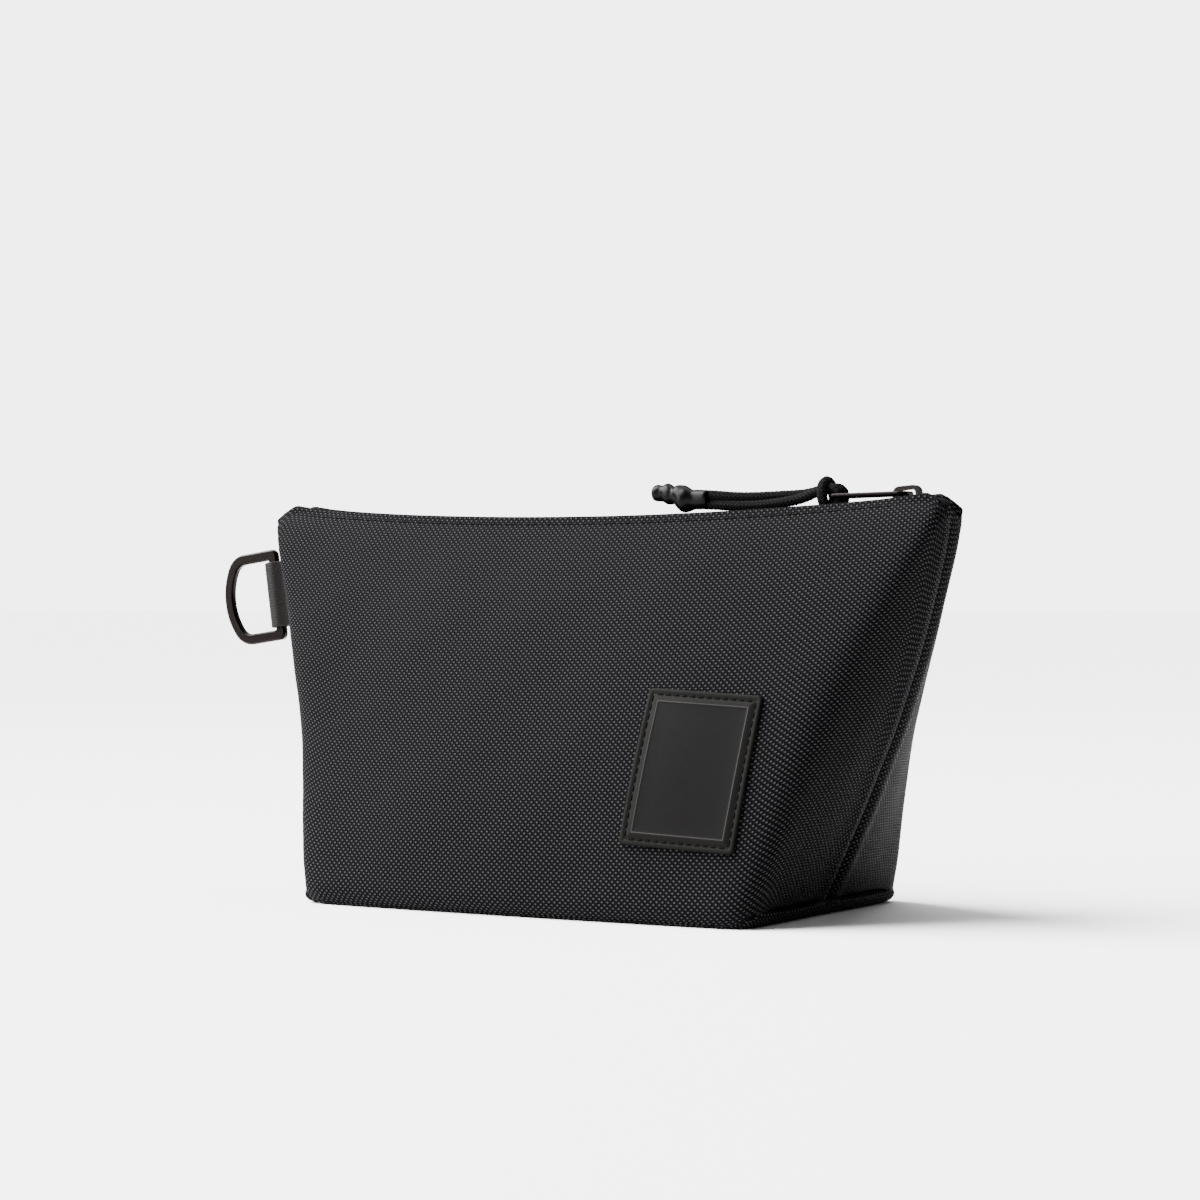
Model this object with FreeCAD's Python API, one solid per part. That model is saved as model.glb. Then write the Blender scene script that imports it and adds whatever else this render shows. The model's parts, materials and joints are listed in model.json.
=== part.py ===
import FreeCAD, Part
import math
import os

# A wedge-shaped zipped toiletry bag with a D-ring on its left side seam. Units are millimetres.
# Frame: origin at the middle of the base's rest face, +X along the zipper to the right, -Y front, +Z up.

# ---- driving dimensions: the bag ----
SEAM_HALF_BASE = 88.0      # side seam to the middle plane, at the ground
SEAM_HALF_TOP = 138.8      # side seam to the middle plane, at the mouth
BAG_HEIGHT = 142.0         # height at which the top width is reached
SEAM_BOW = 1.5             # how much the side seam bows outward on its way up
RIDGE_BASE = 61.5          # half depth at the corners of the base
RIDGE_TOP = 7.0            # half depth at the ends of the mouth
RIDGE_BOW = 0.75           # how much the ridges bow outward on their way up
RIDGE_DENT = 15.0          # half-way up, the ridges stand this far inside the side seams
RIDGE_DENT_SKEW = 1.2      # where on the way up that is
RIDGE_ROUNDING = 16.0      # the front turns into the side over about this width at the base
RIDGE_SOFTENING = 30.0     # and over this much more at the mouth
FACE_BASE = 62.5           # half depth at the middle of the base
FACE_TOP = 9.6             # half depth at the middle of the mouth
FACE_BOW = 1.6             # how much the front and the back bow outward on their way up
BASE_SEAM_Z = 7.0          # height of the fold where the base meets the front and the back
BASE_FOOT_INSET = 5.0      # the rest face is this much smaller all round than the base
HEM_SAG = 4.3              # the mouth's edge hangs this much lower in the middle
HEM_HALF_CHORD = 115.0     # half the chord over which that sag is measured
HEM_MIDDLE_Z = 137.7       # height of the mouth's edge in the middle
TOP_CORNER_RADIUS = 8.0

SHELL = 1.6                # coated nylon with its backing
LINING = 0.6
LAYER_GAP = 0.3
LINING_DROP = 6.0          # the lining ends this far below the mouth's edge
MOVE_GAP = 0.3             # clearance between bodies

# ---- driving dimensions: the zipper ----
TAPE_DROP = 3.0            # the tape's face lies this far below the mouth's edge
TAPE = 0.6
TAPE_BLANK = 12.0          # the tape is cut back from here to the cloth it is sewn to
TAPE_INNER = 2.0           # the tape's free edge, from the middle plane
COIL_HEIGHT = 2.2
COIL_INNER = 0.7           # leaves a path for the slider's divider
COIL_OUTER = 3.4
SLIDER_X = 122.0           # the slider's place when the mouth is closed
SLIDER_LENGTH = 16.0
SLIDER_WIDTH = 11.0
SLIDER_REAR_WIDTH = 9.4
SLIDER_PLATE = 1.4
SLIDER_LIP = 1.2           # the side walls that keep the coil in
SLIDER_CHAMFER = 2.5
DIVIDER_LENGTH = 3.4       # joins the two plates between the rows of teeth
DIVIDER_WIDTH = 0.8
DIVIDER_INSET = 1.4        # from the slider's leading end
COIL_LEFT_X = -131.5
COIL_RIGHT_X = SLIDER_X + 2.6
ZIP_END_GAP = 0.4          # between a zipper end and the tape
ZIP_END_HALF_WIDTH = 3.6
ZIP_END_RISE = 0.4         # above the mouth's edge
ZIP_END_DROP = 4.5
ZIP_END_INSET = 2.8        # from the side seam
ZIP_END_X = 132.3          # the fabric ends of the zipper start here
CROWN_LENGTH = 10.0
CROWN_WIDTH = 3.0
CROWN_HEIGHT = 4.0
CROWN_METAL = 1.5
CROWN_OUTER_RADIUS = 2.6
CROWN_INNER_RADIUS = 1.1

# ---- driving dimensions: the puller and its cord ----
WIRE = 1.6
WIRE_LENGTH = 28.0         # between the middles of the loop's two end bars
WIRE_HALF_WIDTH = 4.3
WIRE_CORNER = 2.2
BAR_LIFT = 2.2             # the wire's bar above the mouth's edge, under the crown
FAR_BAR_Z = 144.3
CORD = 3.0
HITCH_RADIUS = 4.4
HITCH_HALF_WIDTH = 3.0
COLLAR_LENGTH = 5.5
COLLAR_HALF_WIDTH = 5.2
COLLAR_BOTTOM_Z = 140.2
COLLAR_TOP_Z = 148.2
COLLAR_ROUNDING = 2.2
# The two strands between the hitch and the moulded end, listed from the hitch to the end.
FRONT_STRAND = [
    (87.9, -1.65, 143.9),
    (76.0, -2.4, 142.3),
    (62.0, -3.7, 141.7),
    (46.8, -5.2, 142.2),
]
BACK_STRAND = [
    (87.9, 1.65, 144.6),
    (74.0, 0.2, 144.9),
    (60.0, -3.0, 144.9),
    (46.8, -5.1, 145.4),
]
CORD_END_AXIS = (0.0, -5.2, 143.9)
# Outline of the moulded end: distance along X and radius, from the free tip to the cord's side.
CORD_END_OUTLINE = [(25.8, 1.8), (27.8, 3.5), (33.0, 3.9), (38.5, 4.5), (42.5, 3.8), (48.0, 3.4)]

# ---- shares that shape the horizontal outline between the seam, the ridge and the face ----
SIDE_PUFF = 1.0            # the side stands this far outside the straight line from seam to ridge
SIDE_NEAR_DEPTH = 0.36     # the side's two guiding points, as shares of the ridge's depth ...
SIDE_FAR_DEPTH = 0.72
SIDE_NEAR_DENT = 0.12      # ... and of its dent
SIDE_FAR_DENT = 0.62
RIDGE_PUFF = 2.0
ROUNDING_SWELL = 0.2       # share of the way from the ridge to the face
FACE_FLAT = 0.42           # the face is flat over this share of the half width
BASE_BELLY_RISE = 0.25     # the foot's widest bend, as a share of its height ...
BASE_BELLY_INSET = 0.35    # ... and of its inset
CORNER_OVERHANG = 0.5      # the upper corner stands this far outside the seam line
CUTTER_REACH = 40.0        # a cutting block is this large, more than what it cuts

# ---- driving dimensions: the D-ring and its tab ----
TAB_WIDTH = 25.0           # standard webbing
TAB_WEB = 1.4
RING_BAR_X = -144.4
RING_Z = 111.0
RING_TILT = 8.0            # degrees, the ring follows the slope of the seam
RING_HALF_HEIGHT = 17.5
RING_DEPTH = 25.0          # from the middle of the straight bar to the outside of the bow
RING_SHOULDER_RADIUS = 9.0
RING_BOW_RADIUS = 26.0
RING_FACE = 4.0
RING_THICK = 2.8
RING_BEVEL = 0.6
RING_CORNER = 2.6          # where the straight bar meets the bow
RING_INNER_CORNER = 0.8
TAB_LOOP = 2.4             # inside radius of the tab round the bar
TAB_REACH = 17.0           # how far the tab runs towards and into the seam
TAB_STITCHES = 8
TAB_STITCH_X = 6.6         # from the bar's middle
TAB_STITCH_PITCH = 2.8
TAB_STITCH_LENGTH = 1.8

# ---- driving dimensions: the label patch ----
PATCH_X = 64.8
PATCH_Z = 51.4
PATCH_WIDTH = 42.0
PATCH_HEIGHT = 52.2
PATCH_CORNER = 1.8
PATCH_TURN = 3.0           # degrees, sewn on slightly askew
PATCH = 1.3
STITCH_LENGTH = 2.5
STITCH_PITCH = 3.3
STITCH_WIDTH = 0.6
STITCH_RISE = 0.35
PATCH_STITCH_INSET = 2.0
PATCH_STITCH_MARGIN = 1.0  # each row stops this far from the corner
HEM_STITCH_DROP = 2.4
HEM_STITCH_MARGIN = 12.0   # the row ends this far from the side seams

# ---- derived values ----
HEM_RADIUS = (HEM_HALF_CHORD**2 + HEM_SAG**2) / (2 * HEM_SAG)
HEM_CENTRE_Z = HEM_MIDDLE_Z + HEM_RADIUS
SECTION_HEIGHTS = [BASE_SEAM_Z, 28.0, 55.0, 85.0, 115.0, 150.0]


def vec(x, y, z):
    return FreeCAD.Vector(x, y, z)


def share_up(z):
    """How far up the bag z is, from 0 at the ground to 1 at the mouth."""
    return min(1.0, z / BAG_HEIGHT)


def seam_half(z):
    """Distance of the side seam from the middle plane at height z."""
    return SEAM_HALF_BASE + (SEAM_HALF_TOP - SEAM_HALF_BASE) * (1 - (1 - share_up(z)) ** SEAM_BOW)


def ridge_half(z):
    """Half depth at the soft ridge between the front and a side."""
    return RIDGE_TOP + (RIDGE_BASE - RIDGE_TOP) * (1 - share_up(z)) ** RIDGE_BOW


def ridge_dent(z):
    """How far the ridge stands inside the side seam."""
    return RIDGE_DENT * math.sin(math.pi * share_up(z) ** RIDGE_DENT_SKEW)


def face_half(z):
    """Half depth at the middle of the front or the back."""
    return FACE_TOP + (FACE_BASE - FACE_TOP) * (1 - share_up(z) ** FACE_BOW)


def hem_z(x, drop=0.0):
    """Height of the mouth's edge at x, or of a line that far below it."""
    return HEM_CENTRE_Z - math.sqrt((HEM_RADIUS + drop) ** 2 - x**2)


def half_section(z, grow, side):
    """One half of the bag's outline at height z, from the right seam to the left seam, grown outward."""
    seam = seam_half(z) + grow
    ridge = ridge_half(z) + grow
    face = face_half(z) + grow
    dent = ridge_dent(z)
    corner = seam - dent
    rounding = RIDGE_ROUNDING + RIDGE_SOFTENING * share_up(z)
    right = [
        (seam, 0.0),
        (seam + SIDE_PUFF - SIDE_NEAR_DENT * dent, SIDE_NEAR_DEPTH * ridge),
        (seam + SIDE_PUFF - SIDE_FAR_DENT * dent, SIDE_FAR_DEPTH * ridge),
        (corner + RIDGE_PUFF, ridge),
        (corner - rounding, ridge + ROUNDING_SWELL * (face - ridge)),
        (FACE_FLAT * seam, face),
    ]
    left = [(-x, y) for x, y in reversed(right)]
    curve = Part.BSplineCurve()
    poles = [vec(x, side * y, z) for x, y in right + left]
    curve.buildFromPolesMultsKnots(poles, [4] + [1] * 8 + [4], list(range(10)), False, 3)
    return curve.toShape()


def half_bag(grow, side):
    """The solid front half (side -1) or back half (side +1), from the base fold to above the mouth."""
    wires = []
    for z in SECTION_HEIGHTS:
        bow = half_section(z, grow, side)
        ends = bow.Vertexes
        chord = Part.LineSegment(ends[1].Point, ends[0].Point).toShape()
        wires.append(Part.Wire([bow, chord]))
    return Part.makeLoft(wires, True, False)


def foot_solid(grow, bottom):
    """The low pan of the base: its outline draws in towards the rest face."""
    levels = [
        (bottom, -BASE_FOOT_INSET),
        (bottom + BASE_BELLY_RISE * (BASE_SEAM_Z - bottom), -BASE_BELLY_INSET * BASE_FOOT_INSET),
        (BASE_SEAM_Z, 0.0),
    ]
    wires = []
    for z, inset in levels:
        front = half_section(BASE_SEAM_Z, grow + inset, -1)
        back = half_section(BASE_SEAM_Z, grow + inset, 1)
        wire = Part.Wire([front, back])
        wire.translate(vec(0, 0, z - BASE_SEAM_Z))
        wires.append(wire)
    return Part.makeLoft(wires, True, False)


def box(x0, x1, y0, y1, z0, z1):
    return Part.makeBox(x1 - x0, y1 - y0, z1 - z0, vec(x0, y0, z0))


def mouth_cutter(drop):
    """Everything above a line that runs this far below the mouth's edge."""
    start = vec(0, -100, HEM_CENTRE_Z)
    return Part.makeCylinder(HEM_RADIUS + drop, 200, start, vec(0, 1, 0))


def corner_cutter(sign):
    """Rounds one upper corner of the bag, seen from the front."""
    inner_x = SEAM_HALF_TOP + CORNER_OVERHANG - TOP_CORNER_RADIUS
    inner_z = hem_z(inner_x) - TOP_CORNER_RADIUS
    reach = CUTTER_REACH
    block = box(inner_x, inner_x + reach, -reach, reach, inner_z, inner_z + reach)
    rounding = Part.makeCylinder(TOP_CORNER_RADIUS, 2 * reach, vec(inner_x, -reach, inner_z), vec(0, 1, 0))
    cutter = block.cut(rounding)
    if sign < 0:
        cutter = cutter.mirror(vec(0, 0, 0), vec(1, 0, 0))
    return cutter


def trim_top(shape, drop):
    return shape.cut([mouth_cutter(drop), corner_cutter(1), corner_cutter(-1)])


def shell(side, outer, inner, drop, bottom):
    """A curved wall of the bag between two offsets of its outline."""
    wall = half_bag(outer, side).cut(half_bag(inner, side))
    wall = trim_top(wall, drop)
    return wall.common(box(-200, 200, -80, 80, bottom, 200))


def arc_strip(drop_top, drop_bottom, y0, y1, x0, x1):
    """A strip that runs along the zipper's sagging line."""
    outer = Part.makeCylinder(HEM_RADIUS + drop_bottom, y1 - y0, vec(0, y0, HEM_CENTRE_Z), vec(0, 1, 0))
    inner = Part.makeCylinder(HEM_RADIUS + drop_top, y1 - y0, vec(0, y0, HEM_CENTRE_Z), vec(0, 1, 0))
    return outer.cut(inner).common(box(x0, x1, y0, y1, 120, 160))


def rounded_rectangle(width, height, radius, y):
    """A closed wire in the XZ plane, centred on the origin."""
    w = width / 2
    h = height / 2
    c = radius * (1 - math.sqrt(0.5))
    corners = [
        ((w - radius, -h), (w - c, -h + c), (w, -h + radius)),
        ((w, h - radius), (w - c, h - c), (w - radius, h)),
        ((-w + radius, h), (-w + c, h - c), (-w, h - radius)),
        ((-w, -h + radius), (-w + c, -h + c), (-w + radius, -h)),
    ]
    edges = []
    last = corners[-1][2]
    for start, middle, end in corners:
        edges.append(Part.LineSegment(vec(last[0], y, last[1]), vec(start[0], y, start[1])).toShape())
        points = [vec(p[0], y, p[1]) for p in (start, middle, end)]
        edges.append(Part.Arc(*points).toShape())
        last = end
    return Part.Wire(edges)


def tube(points, diameter, label):
    """A tube along straight runs joined by tangent arcs, each as large as its two runs allow."""
    nodes = [vec(*p) for p in points]
    edges = []
    last = nodes[0]
    for before, here, after in zip(nodes, nodes[1:], nodes[2:]):
        back = (before - here).normalize()
        ahead = (after - here).normalize()
        half_turn = (math.pi - back.getAngle(ahead)) / 2
        setback = 0.45 * min((before - here).Length, (after - here).Length)
        radius = setback / math.tan(half_turn)
        print(label, "bend radius", round(radius, 1), "mm")
        start = here + back * setback
        end = here + ahead * setback
        inward = (back + ahead).normalize()
        middle = here + inward * (radius / math.cos(half_turn) - radius)
        edges.append(Part.LineSegment(last, start).toShape())
        edges.append(Part.Arc(start, middle, end).toShape())
        last = end
    edges.append(Part.LineSegment(last, nodes[-1]).toShape())
    path = Part.Wire(edges)
    heading = nodes[1] - nodes[0]
    profile = Part.Wire([Part.makeCircle(diameter / 2, nodes[0], heading)])
    solid = Part.Solid(path.makePipeShell([profile], True, False))
    ideal = math.pi * diameter**2 / 4 * path.Length
    print(label, "volume over section times length", round(abs(solid.Volume) / ideal, 4))
    return solid


def place_on_zip(shape):
    """Moves a shape built about the mouth's edge at x = 0 to the slider's place on the sagging line."""
    slope = math.degrees(math.asin(SLIDER_X / HEM_RADIUS))
    shape.rotate(vec(0, 0, 0), vec(0, 1, 0), -slope)
    shape.translate(vec(SLIDER_X, 0, hem_z(SLIDER_X)))
    return shape


# ---- the bag's panels ----
def make_front_panel():
    return shell(-1, 0, -SHELL, 0, BASE_SEAM_Z + MOVE_GAP)


def make_back_panel():
    return shell(1, 0, -SHELL, 0, BASE_SEAM_Z)


def make_lining(side, bottom):
    inner = -SHELL - LAYER_GAP - LINING
    return shell(side, -SHELL - LAYER_GAP, inner, LINING_DROP, bottom)


def make_base_panel():
    outer = foot_solid(0, 0)
    inner = foot_solid(-SHELL, SHELL)
    return outer.cut(inner)


def make_base_lining():
    low = SHELL + LAYER_GAP
    inside = foot_solid(-SHELL - LAYER_GAP, low)
    return inside.common(box(-200, 200, -80, 80, low, low + LINING))


def make_topstitch(side):
    """A row of stitches through the hem, just under the mouth's edge."""
    marks = []
    reach = SEAM_HALF_TOP - HEM_STITCH_MARGIN
    count = int(2 * reach / STITCH_PITCH)
    for i in range(count):
        x = -reach + (i + 0.5) * STITCH_PITCH
        z = hem_z(x, HEM_STITCH_DROP)
        half = STITCH_LENGTH / 2
        y0 = min(0, side * 30)
        marks.append(box(x - half, x + half, y0, y0 + 30, z - STITCH_WIDTH, z))
    layer = half_bag(STITCH_RISE, side).cut(half_bag(0, side))
    return layer.common(Part.makeCompound(marks))


# ---- the label patch ----
def turn_patch(shape):
    shape.rotate(vec(0, 0, 0), vec(0, 1, 0), PATCH_TURN)
    shape.translate(vec(PATCH_X, 0, PATCH_Z))
    return shape


def make_label_patch():
    outline = rounded_rectangle(PATCH_WIDTH, PATCH_HEIGHT, PATCH_CORNER, -80)
    prism = turn_patch(Part.Face(outline).extrude(vec(0, 80, 0)))
    return half_bag(PATCH, -1).cut(half_bag(0, -1)).common(prism)


def make_patch_stitches():
    """Stitches all round the patch, near its edge."""
    half_w = PATCH_WIDTH / 2 - PATCH_STITCH_INSET
    half_h = PATCH_HEIGHT / 2 - PATCH_STITCH_INSET
    length = STITCH_LENGTH / 2
    thick = STITCH_WIDTH / 2
    marks = []
    for along, across, flat in ((half_w, half_h, True), (half_h, half_w, False)):
        count = int(2 * (along - PATCH_STITCH_MARGIN) / STITCH_PITCH)
        for i in range(count):
            s = (i + 0.5 - count / 2) * STITCH_PITCH
            for edge in (-across, across):
                if flat:
                    marks.append(box(s - length, s + length, -80, 0, edge - thick, edge + thick))
                else:
                    marks.append(box(edge - thick, edge + thick, -80, 0, s - length, s + length))
    stamp = turn_patch(Part.makeCompound(marks))
    return half_bag(PATCH + STITCH_RISE, -1).cut(half_bag(PATCH, -1)).common(stamp)


# ---- the zipper ----
def make_tape(side):
    y0, y1 = sorted((side * TAPE_INNER, side * TAPE_BLANK))
    strip = arc_strip(TAPE_DROP, TAPE_DROP + TAPE, y0, y1, -ZIP_END_X + ZIP_END_GAP, ZIP_END_X - ZIP_END_GAP)
    return strip.common(half_bag(-SHELL - LAYER_GAP, side))


def make_coil(side):
    y0, y1 = sorted((side * COIL_INNER, side * COIL_OUTER))
    return arc_strip(TAPE_DROP - COIL_HEIGHT, TAPE_DROP, y0, y1, COIL_LEFT_X, COIL_RIGHT_X)


def make_zip_end(sign):
    """The folded fabric that closes the zipper at one end of the mouth."""
    x0, x1 = sorted((sign * ZIP_END_X, sign * (SEAM_HALF_TOP - ZIP_END_INSET)))
    block = arc_strip(-ZIP_END_RISE, ZIP_END_DROP, -ZIP_END_HALF_WIDTH, ZIP_END_HALF_WIDTH, x0, x1)
    return block.cut(corner_cutter(sign))


def crown_foot_z():
    """Top of the slider's upper plate, from the mouth's edge."""
    return -(TAPE_DROP - COIL_HEIGHT) + MOVE_GAP + SLIDER_PLATE


def make_slider_body():
    half = SLIDER_LENGTH / 2
    wide = SLIDER_WIDTH / 2
    rear = SLIDER_REAR_WIDTH / 2
    near_side = [
        (-half, -rear),
        (-half / 4, -rear),
        (half / 3, -wide),
        (half - SLIDER_CHAMFER, -wide),
        (half, -wide + SLIDER_CHAMFER),
    ]
    plan = near_side + [(x, -y) for x, y in reversed(near_side)]
    outline = Part.makePolygon([vec(x, y, 0) for x, y in plan + plan[:1]])
    plate = Part.Face(outline).extrude(vec(0, 0, SLIDER_PLATE))
    top_z = crown_foot_z() - SLIDER_PLATE
    bottom_z = -(TAPE_DROP + TAPE) - MOVE_GAP - SLIDER_PLATE
    top = plate.copy()
    top.translate(vec(0, 0, top_z))
    bottom = plate.copy()
    bottom.translate(vec(0, 0, bottom_z))
    tip = half - DIVIDER_INSET
    side_y = DIVIDER_WIDTH / 2
    divider = box(tip - DIVIDER_LENGTH, tip, -side_y, side_y, bottom_z, top_z)
    body = top.fuse([bottom, divider])
    lip_low = -TAPE_DROP + MOVE_GAP
    lip_plan = Part.Face(outline).extrude(vec(0, 0, top_z + SLIDER_PLATE - lip_low))
    lip_plan.translate(vec(0, 0, lip_low))
    for side in (-1, 1):
        y0, y1 = sorted((side * (wide - SLIDER_LIP), side * wide))
        lip = box(-half, half, y0, y1, lip_low, top_z + SLIDER_PLATE)
        body = body.fuse(lip.common(lip_plan))
    return place_on_zip(body.removeSplitter())


def make_slider_crown():
    """The arched bridge on the slider that holds the puller."""
    foot = crown_foot_z()
    half = CROWN_LENGTH / 2
    block = box(-half, half, -CROWN_WIDTH / 2, CROWN_WIDTH / 2, foot, foot + CROWN_HEIGHT)
    upper = [e for e in block.Edges if e.BoundBox.ZMin > foot + 1 and e.BoundBox.YLength > 1]
    block = block.makeFillet(CROWN_OUTER_RADIUS, upper)
    inner_top = foot + CROWN_HEIGHT - CROWN_METAL
    hole = box(-half + CROWN_METAL, half - CROWN_METAL, -5, 5, foot, inner_top)
    inner_edges = [e for e in hole.Edges if e.BoundBox.ZMin > foot + 1 and e.BoundBox.YLength > 1]
    hole = hole.makeFillet(CROWN_INNER_RADIUS, inner_edges)
    return place_on_zip(block.cut(hole))


# ---- the puller and its cord ----
def near_bar():
    return vec(SLIDER_X, 0, hem_z(SLIDER_X) + BAR_LIFT)


def far_bar():
    return vec(SLIDER_X - WIRE_LENGTH, 0, FAR_BAR_Z)


def make_puller_wire():
    """A closed loop of round wire, lying nearly flat from the crown to the left."""
    length = (near_bar() - far_bar()).Length
    outline = rounded_rectangle(length, 2 * WIRE_HALF_WIDTH, WIRE_CORNER, 0)
    outline.rotate(vec(0, 0, 0), vec(1, 0, 0), 90)
    start = outline.Edges[0].Vertexes[0].Point
    profile = Part.Wire([Part.makeCircle(WIRE / 2, start, outline.Edges[0].tangentAt(0))])
    loop = Part.Solid(outline.makePipeShell([profile], True, False))
    drop = near_bar() - far_bar()
    loop.rotate(vec(0, 0, 0), vec(0, 1, 0), -math.degrees(math.atan2(drop.z, drop.x)))
    loop.translate((near_bar() + far_bar()) * 0.5)
    return loop


def make_cord_hitch():
    """The outside shape of the cord's hitch: turns round the wire's bar, and the collar beside it."""
    bar = far_bar()
    width = 2 * HITCH_HALF_WIDTH
    turns = Part.makeCylinder(HITCH_RADIUS, width, bar - vec(0, HITCH_HALF_WIDTH, 0), vec(0, 1, 0))
    right = bar.x - WIRE
    collar = box(
        right - COLLAR_LENGTH,
        right,
        -COLLAR_HALF_WIDTH,
        COLLAR_HALF_WIDTH,
        COLLAR_BOTTOM_Z,
        COLLAR_TOP_Z,
    )
    collar = collar.makeFillet(COLLAR_ROUNDING, [e for e in collar.Edges if e.BoundBox.XLength > 1])
    hole = Part.makeCylinder(WIRE / 2 + MOVE_GAP, 30, bar - vec(0, 15, 0), vec(0, 1, 0))
    return turns.fuse(collar).cut(hole)


def make_pull_cord():
    strands = [
        tube(FRONT_STRAND, CORD, "front strand"),
        tube(BACK_STRAND, CORD, "back strand"),
    ]
    return Part.makeCompound(strands)


def make_cord_end():
    """The lumpy moulded piece that holds both ends of the cord."""
    curve = Part.BSplineCurve()
    curve.interpolate([vec(x, 0, r) for x, r in CORD_END_OUTLINE])
    first = CORD_END_OUTLINE[0]
    last = CORD_END_OUTLINE[-1]
    edges = [
        Part.LineSegment(vec(first[0], 0, 0), vec(first[0], 0, first[1])).toShape(),
        curve.toShape(),
        Part.LineSegment(vec(last[0], 0, last[1]), vec(last[0], 0, 0)).toShape(),
        Part.LineSegment(vec(last[0], 0, 0), vec(first[0], 0, 0)).toShape(),
    ]
    face = Part.Face(Part.Wire(edges))
    solid = face.revolve(vec(0, 0, 0), vec(1, 0, 0), 360)
    solid.translate(vec(*CORD_END_AXIS))
    return solid


# ---- the D-ring and its tab ----
def place_ring(shape):
    shape.rotate(vec(0, 0, 0), vec(0, 1, 0), -RING_TILT)
    shape.translate(vec(RING_BAR_X, 0, RING_Z))
    return shape


def arc(centre, radius, start, end):
    """A circular arc in the XZ plane between two angles in degrees, anticlockwise seen from the front."""
    points = []
    for degrees in (start, (start + end) / 2, end):
        angle = math.radians(degrees)
        points.append(centre + vec(radius * math.cos(angle), 0, radius * math.sin(angle)))
    return Part.Arc(*points).toShape()


def ring_outline(inset):
    """The D seen from the front, about the middle of its straight bar, drawn in by inset."""
    half = RING_HALF_HEIGHT - inset
    right = RING_FACE / 2 - inset
    corner = max(RING_INNER_CORNER, RING_CORNER - inset)
    shoulder = RING_SHOULDER_RADIUS - inset
    bow = RING_BOW_RADIUS - inset
    rise = half - shoulder
    reach = math.sqrt((bow - shoulder) ** 2 - rise**2)
    bow_centre = vec(RING_BOW_RADIUS - RING_DEPTH, 0, 0)
    upper = bow_centre + vec(-reach, 0, rise)
    lower = bow_centre + vec(-reach, 0, -rise)
    lean = math.degrees(math.atan2(rise, reach))
    corner_x = right - corner
    corner_z = half - corner
    edges = [
        arc(vec(corner_x, 0, corner_z), corner, 0, 90),
        Part.LineSegment(vec(corner_x, 0, half), vec(upper.x, 0, half)).toShape(),
        arc(upper, shoulder, 90, 180 - lean),
        arc(bow_centre, bow, 180 - lean, 180 + lean),
        arc(lower, shoulder, 180 + lean, 270),
        Part.LineSegment(vec(lower.x, 0, -half), vec(corner_x, 0, -half)).toShape(),
        arc(vec(corner_x, 0, -corner_z), corner, 270, 360),
        Part.LineSegment(vec(right, 0, -corner_z), vec(right, 0, corner_z)).toShape(),
    ]
    return Part.Wire(edges)


def make_d_ring():
    outer = Part.Face(ring_outline(0))
    inner = Part.Face(ring_outline(RING_FACE))
    flat = outer.cut(inner)
    flat.translate(vec(0, -RING_THICK / 2, 0))
    ring = flat.extrude(vec(0, RING_THICK, 0))
    rims = [e for e in ring.Edges if e.BoundBox.YLength < 0.01]
    ring = ring.makeChamfer(RING_BEVEL, rims)
    return place_ring(ring)


def make_d_ring_tab():
    """Webbing folded round the ring's bar, with its two layers running into the side seam."""
    half = TAB_WIDTH / 2
    low = vec(0, 0, -half)
    up = vec(0, 0, 1)
    outside = Part.makeCylinder(TAB_LOOP + TAB_WEB, TAB_WIDTH, low, up)
    layers = box(0, TAB_REACH, -TAB_WEB, TAB_WEB, -half, half)
    inside = Part.makeCylinder(TAB_LOOP, TAB_WIDTH, low, up)
    tab = place_ring(outside.fuse(layers).cut(inside))
    return tab.cut([half_bag(MOVE_GAP, -1), half_bag(0, 1)])


def make_tab_stitches():
    """The bar of thread across the tab, between the ring and the seam, on both of its faces."""
    marks = []
    half = TAB_STITCH_LENGTH / 2
    right = TAB_STITCH_X + STITCH_WIDTH
    for i in range(TAB_STITCHES):
        z = (i + 0.5 - TAB_STITCHES / 2) * TAB_STITCH_PITCH
        for side in (-1, 1):
            y0, y1 = sorted((side * TAB_WEB, side * (TAB_WEB + STITCH_RISE)))
            marks.append(box(TAB_STITCH_X, right, y0, y1, z - half, z + half))
    return place_ring(Part.makeCompound(marks))


NODES = {
    "front_panel": make_front_panel(),
    "back_panel": make_back_panel(),
    "base_panel": make_base_panel(),
    "front_lining": make_lining(-1, BASE_SEAM_Z + MOVE_GAP),
    "back_lining": make_lining(1, BASE_SEAM_Z),
    "base_lining": make_base_lining(),
    "front_topstitch": make_topstitch(-1),
    "back_topstitch": make_topstitch(1),
    "label_patch": make_label_patch(),
    "patch_stitches": make_patch_stitches(),
    "zipper_tape_front": make_tape(-1),
    "zipper_tape_back": make_tape(1),
    "zipper_coil_front": make_coil(-1),
    "zipper_coil_back": make_coil(1),
    "zipper_end_left": make_zip_end(-1),
    "zipper_end_right": make_zip_end(1),
    "slider_body": make_slider_body(),
    "slider_crown": make_slider_crown(),
    "puller_wire": make_puller_wire(),
    "cord_hitch": make_cord_hitch(),
    "pull_cord": make_pull_cord(),
    "cord_end": make_cord_end(),
    "d_ring": make_d_ring(),
    "d_ring_tab": make_d_ring_tab(),
    "tab_stitches": make_tab_stitches(),
}

os.makedirs("parts", exist_ok=True)
for name, shape in NODES.items():
    solids = shape.Solids
    extent = shape.BoundBox
    size = [round(v, 1) for v in (extent.XLength, extent.YLength, extent.ZLength)]
    print(name, len(solids), "valid", shape.isValid(), "volume", round(shape.Volume, 1), "size", size)
    shape.exportStep("parts/" + name + ".step")
print("arc centre z", round(HEM_CENTRE_Z, 2), "radius", round(HEM_RADIUS, 2))
print("near bar", near_bar(), "far bar", far_bar())
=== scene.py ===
import json
import math

import bmesh
import bpy
import numpy as np
from mathutils import Matrix, Vector


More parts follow.
